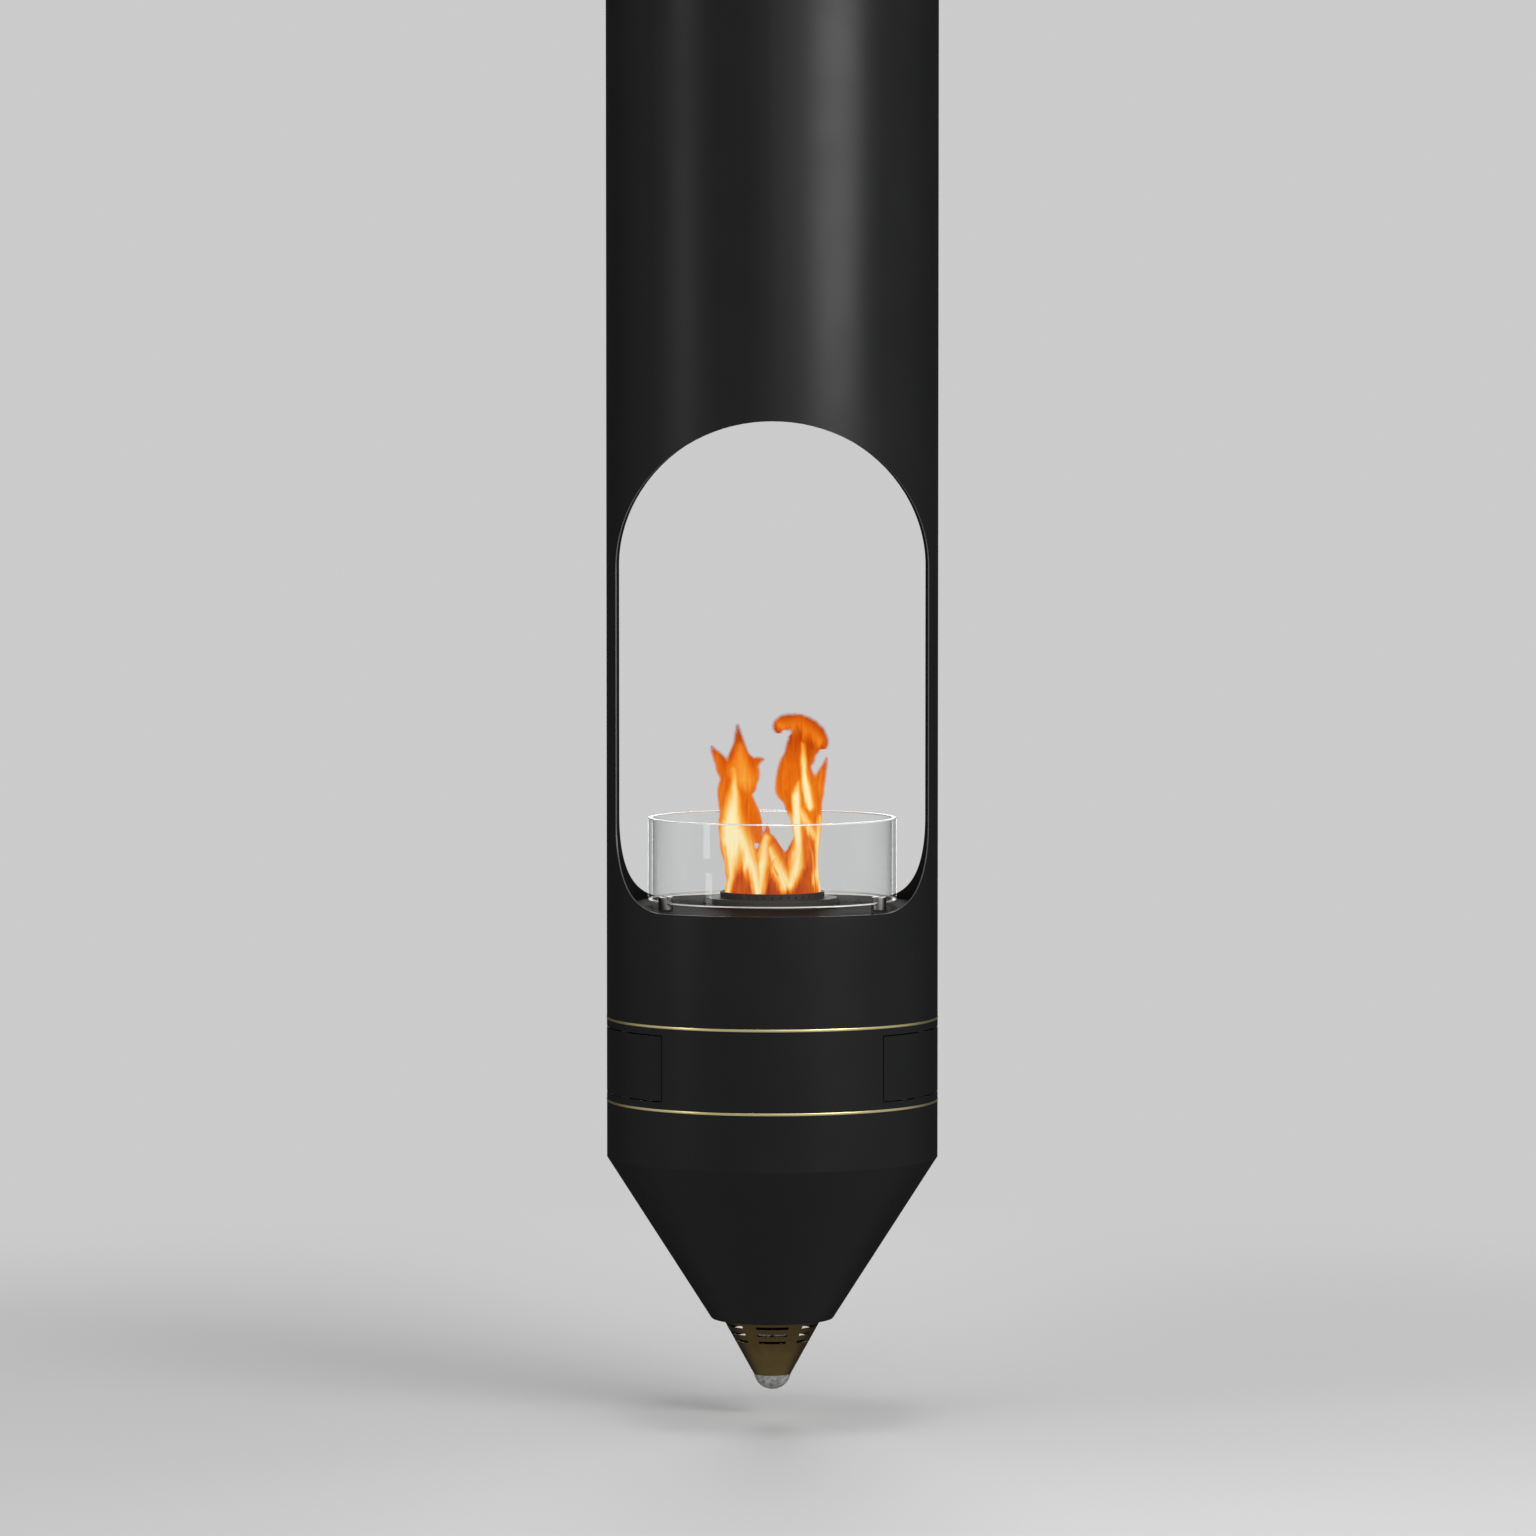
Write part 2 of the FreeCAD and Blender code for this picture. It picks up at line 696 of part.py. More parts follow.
def baffle():
    """The plate above the arch that turns the hot air out of the opening, and the hooks it lies on."""
    hooks = body("baffle_brackets", "baffle_level - baffle_hook_leg")
    drawing = sketch(hooks, "XZ_Plane")
    polygon(drawing, [
        ("inner_fit", "0"),
        ("inner_fit", "baffle_hook_leg"),
        ("inner_fit - baffle_hook_leg", "baffle_hook_leg"),
        ("inner_fit - baffle_hook_leg", "baffle_hook_leg - baffle_hook_sheet"),
        ("inner_fit - baffle_hook_sheet", "baffle_hook_leg - baffle_hook_sheet"),
        ("inner_fit - baffle_hook_sheet", "0"),
    ])
    hook = revolve(hooks, drawing, "baffle_hook_angle")
    repeat(hooks, [hook], "baffle_hook_count")
    plate = body("heat_baffle", "baffle_level")
    drawing = sketch(plate, "XZ_Plane")
    rim = "tube_bore - baffle_gap"
    polygon(drawing, [
        ("0", "0"),
        (rim, "0"),
        (rim, "baffle_rim"),
        (f"{rim} - baffle_sheet", "baffle_rim"),
        (f"{rim} - baffle_sheet", "baffle_sheet"),
        ("0", "baffle_sheet"),
    ])
    revolve(plate, drawing)


def hearth():
    """The hearth plate, flush with the opening's sill, and the ledge inside the tube that carries it."""
    ledge = body("plate_ledge", "plate_base - ledge_depth")
    drawing = sketch(ledge, "XZ_Plane")
    polygon(drawing, [
        ("inner_fit", "0"),
        ("inner_fit", "ledge_depth"),
        ("inner_fit - ledge_width", "ledge_depth"),
        ("inner_fit - ledge_width", "ledge_depth - ledge_sheet"),
        ("inner_fit - ledge_sheet", "ledge_depth - ledge_sheet"),
        ("inner_fit - ledge_sheet", "0"),
    ])
    revolve(ledge, drawing)
    holes(ledge, "hole_of_pan_screw", "ledge_sheet + overrun", LEDGE_SCREWS, "ledge_depth")
    plate = body("floor_plate", "plate_base")
    drawing = sketch(plate)
    circle(drawing, "inner_fit")
    circle(drawing, "tray_radius + tray_play")
    for x, y in POSTS:
        circle(drawing, "hole_of_pan_screw", x, y)
    pad(plate, drawing, "plate_thickness")
    holes(plate, "pan_screw_radius + running_gap", "plate_screw_bite", LEDGE_SCREWS, "plate_screw_bite")


def pan_screws():
    """Pan-head screws: up through the ledge, up into the glass posts, and up through the strap ears."""
    screws = body("pan_screws", "0")
    groups = [
        (LEDGE_SCREWS, "plate_base - ledge_sheet", "ledge_sheet + plate_screw_bite"),
        (POSTS, "plate_base", "plate_thickness + post_screw_bite"),
        (STRAP_SCREWS, "shell_top - strap_sheet", "strap_sheet + ring_height"),
    ]
    for places, level, length in groups:
        bars(screws, "pan_head_radius", "pan_head_height", places, f"{level} - pan_head_height")
        bars(screws, "pan_screw_radius", length, places, level)


def glass():
    """The open glass cylinder, and the three slotted posts with a heat-proof pad in each slot."""
    posts = body("glass_posts", "sill_level")
    post = bars(posts, "post_radius", "post_height", POSTS)
    round_edges(posts, post, "post_edge", lambda edge: edge.CenterOfMass.z > size("post_height") / 2)
    drawing = sketch(posts, lift="post_height")
    circle(drawing, "glass_radius + post_slot_play")
    circle(drawing, "glass_radius - glass_wall - post_slot_play")
    pocket(posts, drawing, "post_height - slot_floor")
    holes(posts, "pan_screw_radius + running_gap", "post_screw_bite", POSTS, "post_screw_bite")
    pads = body("glass_pads", "sill_level + slot_floor", turn=90)
    drawing = sketch(pads, "XZ_Plane")
    rectangle(drawing, "glass_radius - glass_wall", "0", "glass_wall", "pad_thickness")
    slip = revolve(pads, drawing, "pad_angle")
    repeat(pads, [slip], "post_count")
    cylinder = body("glass_cylinder", "glass_base")
    wall = ring(cylinder, "glass_radius", "glass_radius - glass_wall", "glass_height")
    round_edges(cylinder, wall, "glass_edge_round", lambda edge: True)


def burner_tray():
    """The fuel tray in the plate's hole, and the ceramic wick that fills it."""
    tray = body("burner_tray", "sill_level - tray_depth")
    drawing = sketch(tray, "XZ_Plane")
    inner = "tray_radius - tray_wall"
    polygon(drawing, [
        ("0", "0"),
        ("tray_radius", "0"),
        ("tray_radius", "tray_depth"),
        ("tray_flange_radius", "tray_depth"),
        ("tray_flange_radius", "tray_depth + tray_wall"),
        (inner, "tray_depth + tray_wall"),
        (inner, "tray_wall"),
        ("0", "tray_wall"),
    ])
    revolve(tray, drawing)
    holes(tray, "igniter_radius + running_gap", "tray_wall + overrun", PROBES, "tray_wall")
    holes(tray, "pipe_bore", "tray_wall + overrun", [("0", "port_y")], "tray_wall")
    wick = body("ceramic_wick", "sill_level - tray_depth + tray_wall")
    drawing = sketch(wick)
    circle(drawing, f"{inner} - wick_play")
    for x, y in PROBES:
        circle(drawing, "igniter_radius + wick_play", x, y)
    pad(wick, drawing, "wick_height")


def burner_screen():
    """The perforated screen inside the crown, with its holes in rings of 6, 12, 18 and so on."""
    screen = body("burner_screen", "sill_level + tray_wall")
    drawing = sketch(screen)
    circle(drawing, "crown_bore - fit_gap")
    circle(drawing, "screen_hole_radius")
    for lap in range(1, int(size("screen_ring_count")) + 1):
        number = 6 * lap
        for i in range(number):
            turn = f"({FULL_TURN * (i + 0.5)} / {number})"
            spot = (f"{lap} * screen_ring_pitch * cos{turn}", f"{lap} * screen_ring_pitch * sin{turn}")
            circle(drawing, "screen_hole_radius", *spot)
    pad(screen, drawing, "screen_thickness")
    holes(screen, "igniter_radius + wick_play", "screen_thickness + overrun", PROBES, "screen_thickness")


def burner_disc():
    """The bevelled cover disc round the burner's mouth."""
    disc = body("burner_disc", "sill_level")
    drawing = sketch(disc, "XZ_Plane")
    rebate = "tray_flange_radius + tray_play"
    polygon(drawing, [
        (rebate, "0"),
        ("disc_radius", "0"),
        ("disc_radius", "disc_land"),
        ("disc_radius - disc_bevel", "disc_height"),
        ("crown_radius + fit_gap", "disc_height"),
        ("crown_radius + fit_gap", "tray_wall + fit_gap"),
        (rebate, "tray_wall + fit_gap"),
    ])
    revolve(disc, drawing)


def burner_crown():
    """The raised ring round the flames, with a row of air holes and a rim turned inwards."""
    crown = body("burner_crown", "sill_level + tray_wall")
    drawing = sketch(crown, "XZ_Plane")
    polygon(drawing, [
        ("crown_bore", "0"),
        ("crown_radius", "0"),
        ("crown_radius", "crown_height"),
        ("crown_bore - crown_bead", "crown_height"),
        ("crown_bore - crown_bead", "crown_height - crown_wall"),
        ("crown_bore", "crown_height - crown_wall"),
    ])
    revolve(crown, drawing)
    row = "crown_height - crown_hole_drop"
    side_holes(crown, "crown_hole_radius", row, "crown_hole_count", "crown_radius", "crown_wall")


def probes():
    """The glow igniter and the flame sensor, screwed into the tray's floor from below."""
    floor = "sill_level - tray_depth"
    kinds = (("igniter", "igniter_radius", "igniter_rise"), ("flame_sensor", "sensor_radius", "sensor_rise"))
    for place, (label, radius, rise) in zip(PROBES, kinds):
        probe = body(label, f"{floor} - probe_body_height")
        drawing = sketch(probe)
        hexagon(drawing, "probe_body_radius", *place)
        pad(probe, drawing, "probe_body_height")
        bars(probe, "igniter_radius", "tray_wall", [place], "probe_body_height")
        bars(probe, radius, f"tray_depth + {rise}", [place], "probe_body_height")


def insulation():
    """The board between the burner and the service band, on the upper bulkhead."""
    board = body("insulation_disc", "tube_end")
    drawing = sketch(board)
    circle(drawing, "insulation_radius")
    circle(drawing, "pipe_radius + fit_gap", "0", "port_y")
    pad(board, drawing, "insulation_thickness")


def shell_flanges():
    """The flanges welded inside the shells' ends, two at each joint; the band's also hold the hinge pins."""
    flanges = body("shell_flanges", "0")
    for level, hinged in (("tube_end", False), ("band_top - flange_thickness", True),
                          ("band_end", True), ("shell_top - flange_thickness", False)):
        drawing = sketch(flanges, lift=level)
        circle(drawing, "inner_fit")
        circle(drawing, "inner_fit - flange_width")
        for x, y in JOINT_BOLTS:
            circle(drawing, "hole_of_bolt", x, y)
        if hinged:
            for x, y in HINGES:
                circle(drawing, "hinge_pin_radius + running_gap", x, y)
        pad(flanges, drawing, "flange_thickness")


def bulkheads():
    """The plates clamped between the flanges, and the polished ring round each."""
    for label, level in (("upper", "band_top"), ("lower", "shell_top")):
        bulkhead = body(f"{label}_bulkhead", level)
        drawing = sketch(bulkhead)
        circle(drawing, "ring_seat_radius")
        for x, y in JOINT_BOLTS + RODS:
            circle(drawing, "hole_of_bolt", x, y)
        circle(drawing, "pipe_radius + fit_gap", "0", "port_y")
        if label == "lower":
            circle(drawing, "neck_radius + fit_gap", "-neck_offset", "0")
            circle(drawing, "gauge_radius + fit_gap", "0", "gauge_y")
            circle(drawing, "lead_radius + fit_gap", "lead_x", "lead_y")
            for x, y in STRAP_SCREWS:
                circle(drawing, "pan_screw_radius + running_gap", x, y)
        pad(bulkhead, drawing, "ring_height")
        trim = body(f"{label}_brass_ring", level)
        band = ring(trim, "tube_radius + ring_proud", "ring_seat_radius + fit_gap", "ring_height")
        round_edges(trim, band, "ring_round", lambda edge: edge.Curve.Radius > size("tube_radius"))


def fasteners():
    """The bolts that clamp flange, bulkhead and flange, the tie rods, and all their nuts."""
    bolts = body("joint_bolts", "0")
    nuts = body("hex_nuts", "0")
    stack = "2 * flange_thickness + ring_height"

    def nut_row(level, places):
        drawing = sketch(nuts, lift=level)
        for x, y in places:
            hexagon(drawing, "nut_radius", x, y)
            circle(drawing, "bolt_radius + running_gap", x, y)
        pad(nuts, drawing, "nut_height")

    for head_level, nut_level, shank_level in (
            ("band_top - flange_thickness - nut_height", "tube_end + flange_thickness",
             "band_top - flange_thickness"),
            ("band_end + flange_thickness", "shell_top - flange_thickness - nut_height",
             "shell_top - flange_thickness - nut_height")):
        drawing = sketch(bolts, lift=head_level)
        for x, y in JOINT_BOLTS:
            hexagon(drawing, "nut_radius", x, y)
        pad(bolts, drawing, "nut_height")
        bars(bolts, "bolt_radius", f"{stack} + nut_height", JOINT_BOLTS, shank_level)
        nut_row(nut_level, JOINT_BOLTS)
    rods = body("chassis_rods", "shell_top - nut_height")
    bars(rods, "bolt_radius", "band_height + 2 * ring_height + 2 * nut_height", RODS)
    nut_row("tube_end", RODS)
    nut_row("shell_top - nut_height", RODS)


def hatches():
    """The service band with a window each side, and the curved hatches on upright pins near their rear edge."""
    band = body("hatch_band", "band_end")
    ring(band, "tube_radius", "tube_bore", "band_height")
    drawing = sketch(band, "XZ_Plane")
    rectangle(drawing, "(tube_bore - overrun)", "window_margin", "(tube_wall + 2 * overrun)", "window_height")
    window = revolve(band, drawing, "2 * window_half_angle", cut=True)
    mirror(band, [window], "YZ_Plane")
    pins = body("hinge_pins", "band_end")
    bars(pins, "hinge_pin_radius", "band_height", HINGES)
    for label, side in (("right_hatch", ""), ("left_hatch", "-")):
        hatch = body(label, "band_end")
        drawing = sketch(hatch, "XZ_Plane")
        polygon(drawing, [
            (f"{side}tube_bore", "hatch_base"),
            (f"{side}tube_radius", "hatch_base"),
            (f"{side}tube_radius", "hatch_base + hatch_height"),
            (f"{side}tube_bore", "hatch_base + hatch_height"),
        ])
        revolve(hatch, drawing, "hatch_angle")
        place = [(f"{side}hinge_x", "hinge_y")]
        reach = "hatch_base - flange_thickness - fit_gap"
        upper = "hatch_base + hatch_height"
        bars(hatch, "knuckle_radius", "knuckle_height", place, "hatch_base")
        bars(hatch, "knuckle_radius", "knuckle_height", place, f"{upper} - knuckle_height")
        bars(hatch, "knuckle_neck_radius", reach, place, "flange_thickness + fit_gap")
        bars(hatch, "knuckle_neck_radius", reach, place, upper)
        holes(hatch, "hinge_pin_radius + running_gap", "band_height", place, "band_height")


def latches():
    """A push latch behind the front edge of each hatch: a block under the upper bulkhead and its plunger."""
    sweep = "180 + 2 * latch_angle"
    turn = -size("latch_angle")
    blocks = body("latch_bodies", "band_top", turn)
    drawing = sketch(blocks, "XZ_Plane")
    foot = "latch_back + latch_block"
    polygon(drawing, [
        ("latch_back", "0"),
        ("latch_back", "-latch_drop - latch_barrel"),
        ("latch_reach", "-latch_drop - latch_barrel"),
        ("latch_reach", "-latch_drop + latch_barrel"),
        (foot, "-latch_drop + latch_barrel"),
        (foot, "0"),
    ])
    block = pad(blocks, drawing, "latch_width", both_ways=True)
    drawing = sketch(blocks, "XZ_Plane", rise="-latch_drop")
    plunger_start = "(tube_bore - fit_gap - plunger_length)"
    bore_start = f"({plunger_start} - plunger_travel - overrun)"
    polygon(drawing, [
        (bore_start, "0"),
        ("latch_reach + overrun", "0"),
        ("latch_reach + overrun", "plunger_radius + running_gap"),
        (bore_start, "plunger_radius + running_gap"),
    ])
    bore = revolve(blocks, drawing, axis="H_Axis", cut=True)
    repeat(blocks, [block, bore], "2", sweep)
    for label, angle in (("right_latch_plunger", turn), ("left_latch_plunger", FULL_TURN / 2 - turn)):
        plunger = body(label, "band_top", angle)
        drawing = sketch(plunger, "XZ_Plane", rise="-latch_drop")
        polygon(drawing, [
            (plunger_start, "0"),
            ("tube_bore - fit_gap", "0"),
            ("tube_bore - fit_gap", "plunger_radius"),
            (plunger_start, "plunger_radius"),
        ])
        revolve(plunger, drawing, axis="H_Axis")


def partitions():
    """Channel-shaped plates that part the two hatch bays from the pump bay between them."""
    plates = body("partition_plates", "band_end")
    for side in ("", "-"):
        outer = f"{side}partition_offset {side or '+'} partition_flange"
        inner = f"{side}partition_offset {side or '+'} partition_sheet"
        drawing = sketch(plates, "XZ_Plane")
        polygon(drawing, [
            (f"{side}partition_offset", "0"),
            (outer, "0"),
            (outer, "partition_sheet"),
            (inner, "partition_sheet"),
            (inner, "band_height - partition_sheet"),
            (outer, "band_height - partition_sheet"),
            (outer, "band_height"),
            (f"{side}partition_offset", "band_height"),
        ])
        pad(plates, drawing, "partition_length", both_ways=True)


def fuel_tank():
    """The tank under the lower bulkhead, with the holes of its neck, gauge and pipe in its top."""
    tank = body("fuel_tank", "shell_top - tank_height")
    drawing = sketch(tank, "XZ_Plane")
    polygon(drawing, [
        ("0", "0"),
        ("tank_radius - tank_bevel", "0"),
        ("tank_radius", "tank_bevel"),
        ("tank_radius", "tank_height"),
        ("0", "tank_height"),
        ("0", "tank_height - tank_wall"),
        ("tank_radius - tank_wall", "tank_height - tank_wall"),
        ("tank_radius - tank_wall", "tank_bevel"),
        ("tank_radius - tank_bevel", "tank_wall"),
        ("0", "tank_wall"),
    ])
    revolve(tank, drawing)
    for radius, place in (("neck_radius - neck_wall", ("-neck_offset", "0")),
                          ("gauge_radius + running_gap", ("0", "gauge_y")),
                          ("pipe_radius + running_gap", ("0", "port_y"))):
        holes(tank, radius, "tank_wall + overrun", [place], "tank_height")


def tank_straps():
    """The two bent straps that carry the tank, screwed to the lower bulkhead."""
    straps = body("tank_straps", "shell_top")
    drawing = sketch(straps, "XZ_Plane", lift="strap_offset")
    ear = "strap_half + strap_sheet + strap_ear"
    polygon(drawing, [
        ("strap_half", "0"),
        (ear, "0"),
        (ear, "-strap_sheet"),
        ("strap_half + strap_sheet", "-strap_sheet"),
        ("strap_half + strap_sheet", "-tank_height - strap_sheet"),
        ("-strap_half - strap_sheet", "-tank_height - strap_sheet"),
        ("-strap_half - strap_sheet", "-strap_sheet"),
        (f"-({ear})", "-strap_sheet"),
        (f"-({ear})", "0"),
        ("-strap_half", "0"),
        ("-strap_half", "-tank_height"),
        ("strap_half", "-tank_height"),
    ])
    strap = pad(straps, drawing, "strap_width", both_ways=True)
    mirror(straps, [strap], "XZ_Plane")
    holes(straps, "hole_of_pan_screw", "strap_sheet + overrun", STRAP_SCREWS)


def filler_neck():
    """The filler pipe, bent from the tank's top towards the left hatch."""
    level = size("shell_top")
    lean = math.radians(size("neck_angle"))
    reach = size("neck_bend") * math.tan(lean / 2)
    corner = Vector(-size("neck_offset"), 0, level + size("neck_rise") + reach)
    route = [
        Vector(-size("neck_offset"), 0, level),
        corner,
        corner + Vector(-math.sin(lean), 0, math.cos(lean)) * (reach + size("neck_run")),
    ]
    outer = bent_bar(route, [size("neck_bend")], size("neck_radius"))
    inner = bent_bar(route, [size("neck_bend")], size("neck_radius") - size("neck_wall"))
    pieces["filler_neck"] = shaped("filler_neck", outer.cut(inner))


def filler_cap():
    """The cap over the neck's mouth, with a scalloped grip."""
    cap = body("filler_cap", "neck_mouth_level")
    cap.Placement = FreeCAD.Placement(Vector(), FreeCAD.Rotation(Vector(0, 1, 0), -size("neck_angle")))
    cap.setExpression("Placement.Base.x", bound("neck_mouth_x"))
    cap.setExpression("Placement.Base.z", bound("neck_mouth_level"))
    drawing = sketch(cap, "XZ_Plane")
    bore = "neck_radius + running_gap"
    crest = "cap_height - cap_grip"
    polygon(drawing, [
        ("0", "fit_gap"),
        (bore, "fit_gap"),
        (bore, "-cap_grip"),
        ("cap_radius", "-cap_grip"),
        ("cap_radius", f"{crest} - tank_wall"),
        ("cap_radius - tank_wall", crest),
        ("0", crest),
    ])
    revolve(cap, drawing)
    drawing = sketch(cap, lift=crest)
    circle(drawing, "cap_rib_radius", "cap_radius + cap_rib_radius / 2", "0")
    scallop = pocket(cap, drawing, "cap_height")
    repeat(cap, [scallop], "cap_rib_count")


def level_gauge():
    """The gauge's stem, hung from its head on the lower bulkhead, and the float that rides on it."""
    gauge_length = "tank_height + ring_height - tank_wall - gauge_clear"
    stem = body("level_stem", f"band_end - ({gauge_length})")
    place = [("0", "gauge_y")]
    bars(stem, "gauge_radius", gauge_length, place)
    bars(stem, "gauge_stop_radius", "gauge_stop_height", place)
    bars(stem, "gauge_head_radius", "gauge_head_height", place, gauge_length)
    level_float = body("level_float", f"band_end - ({gauge_length}) + gauge_stop_height")
    drawing = sketch(level_float)
    circle(drawing, "float_radius", "0", "gauge_y")
    circle(drawing, "gauge_radius + running_gap", "0", "gauge_y")
    pad(level_float, drawing, "float_height")


def fuel_pump():
    """The pump on the lower bulkhead, and its pipes up to the burner's tray and down into the tank."""
    pump = body("fuel_pump", "band_end")
    drawing = sketch(pump)
    rectangle(drawing, "-pump_width / 2", "-pump_length", "pump_width", "pump_length")
    pad(pump, drawing, "pump_base_height")
    bars(pump, "pump_motor_radius", "pump_motor_height", [("0", "-pump_motor_inset")], "pump_base_height")
    port = [("0", "port_y")]
    pipes = body("fuel_pipes", "0")
    tray_floor = "sill_level - tray_depth"
    runs = [
        ("band_end + pump_base_height", f"{tray_floor} - band_end - pump_base_height"),
        ("shell_top - tank_height + pipe_foot", "tank_height - pipe_foot + ring_height"),
    ]
    for start, length in runs:
        drawing = sketch(pipes, lift=start)
        circle(drawing, "pipe_radius", *port[0])
        circle(drawing, "pipe_bore", *port[0])
        pad(pipes, drawing, length)


def control_box():
    """The control box behind the right hatch, open towards its panel."""
    box = body("control_box", "band_end")
    drawing = sketch(box)
    rectangle(drawing, "box_x", "-box_front", "box_depth", "(box_front + box_rear)")
    pad(box, drawing, "box_height")
    drawing = sketch(box, "YZ_Plane", lift="panel_x")
    inside = "(box_front + box_rear - 2 * box_wall)"
    rectangle(drawing, "(box_wall - box_front)", "box_wall", inside, "(box_height - 2 * box_wall)")
    pocket(box, drawing, "box_depth - box_wall")
    drawing = sketch(box, "XZ_Plane", lift="box_front", rise="lead_box_rise")
    circle(drawing, "lead_radius + fit_gap", "lead_x", "0")
    pocket(box, drawing, "box_wall + overrun")


def control_panel():
    """The front plate of the control box, with the holes of its switch, button and socket."""
    panel = body("control_panel", "band_end")
    drawing = sketch(panel, "YZ_Plane", lift="panel_x")
    rectangle(drawing, "-box_front", "0", "(box_front + box_rear)", "box_height")
    half_width = "(switch_width / 2 + switch_play)"
    half_height = "(switch_half_height + switch_swing_play)"
    corner = (f"(switch_y - {half_width})", f"(switch_rise - {half_height})")
    rectangle(drawing, *corner, f"2 * {half_width}", f"2 * {half_height}")
    circle(drawing, "button_radius", "button_y", "button_rise")
    circle(drawing, "socket_radius", "socket_y", "socket_rise")
    pad(panel, drawing, "panel_thickness")


def power_switch():
    """The rocker switch, whose pivot lies behind the panel."""
    switch = body("power_switch", "band_end")
    drawing = sketch(switch, "XZ_Plane", lift="-switch_y", rise="switch_rise")
    polygon(drawing, [
        ("switch_pivot_x - switch_back", "-switch_half_height"),
        ("switch_pivot_x + switch_hollow", "-switch_half_height"),
        ("switch_pivot_x + switch_hollow", "0"),
        ("switch_pivot_x + switch_tip", "switch_half_height"),
        ("switch_pivot_x - switch_back", "switch_half_height"),
    ])
    pad(switch, drawing, "switch_width", both_ways=True)


def start_button():
    """The round button, held in the panel by the flange behind it."""
    button = body("start_button", "band_end")
    drawing = sketch(button, "YZ_Plane", lift="panel_x - fit_gap - button_flange")
    circle(drawing, "button_radius + button_flange_width", "button_y", "button_rise")
    pad(button, drawing, "button_flange")
    drawing = sketch(button, "YZ_Plane", lift="panel_x - fit_gap")
    circle(drawing, "button_radius - running_gap", "button_y", "button_rise")
    pad(button, drawing, "fit_gap + panel_thickness + button_proud")


def charge_socket():
    """The low-voltage socket that the battery is charged through."""
    socket = body("charge_socket", "band_end")
    front = "panel_x + panel_thickness"
    drawing = sketch(socket, "YZ_Plane", lift=f"{front} - socket_depth")
    circle(drawing, "socket_radius - running_gap", "socket_y", "socket_rise")
    pad(socket, drawing, "socket_depth + socket_proud")
    drawing = sketch(socket, "YZ_Plane", lift=front)
    circle(drawing, "socket_radius + socket_proud", "socket_y", "socket_rise")
    pad(socket, drawing, "socket_proud")
    drawing = sketch(socket, "YZ_Plane", lift=f"{front} + socket_proud")
    circle(drawing, "socket_bore", "socket_y", "socket_rise")
    pocket(socket, drawing, "socket_depth - socket_proud")


def battery_pack():
    """The battery behind the control box, a block with bevelled upright edges."""
    battery = body("battery_pack", "band_end")
    drawing = sketch(battery)
    edge = "battery_edge"
    low, far = "(box_rear + battery_gap)", "(box_rear + battery_gap + battery_width)"
    near_x, far_x = "box_x", "(box_x + battery_depth)"
    polygon(drawing, [
        (near_x, f"{low} + {edge}"), (f"{near_x} + {edge}", low),
        (f"{far_x} - {edge}", low), (far_x, f"{low} + {edge}"),
        (far_x, f"{far} - {edge}"), (f"{far_x} - {edge}", far),
        (f"{near_x} + {edge}", far), (near_x, f"{far} - {edge}"),
    ])
    pad(battery, drawing, "battery_height")


def lower_shell():
    """The short cylinder round the tank."""
    shell = body("lower_shell", "shell_end")
    ring(shell, "tube_radius", "tube_bore", "lower_shell_height")


def cone():
    """The cone with its spigot, and the base plate that the lamp screws into."""
    cone = body("cone_shell", "cone_end")
    drawing = sketch(cone, "XZ_Plane")
    inner_end = "(cone_end_radius - cone_wall)"
    spigot_bore = "(inner_fit - spigot_wall)"
    meet = f"({spigot_bore} - {inner_end}) * cone_height / (tube_radius - cone_end_radius)"
    polygon(drawing, [
        ("cone_end_radius", "0"),
        ("tube_radius", "cone_height"),
        ("inner_fit", "cone_height"),
        ("inner_fit", "cone_height + spigot_height"),
        (spigot_bore, "cone_height + spigot_height"),
        (spigot_bore, meet),
        (inner_end, "0"),
    ])
    wall = revolve(cone, drawing)
    end_radius = size("cone_end_radius")
    nearness = size("fit_gap")
    round_edges(cone, wall, "cone_edge_round", lambda edge: abs(edge.Curve.Radius - end_radius) < nearness)
    base = body("cone_base", "cone_end")
    drawing = sketch(base)
    circle(drawing, f"{inner_end} - fit_gap")
    circle(drawing, "lamp_spigot_radius + fit_gap")
    pad(base, drawing, "cone_base_thickness")


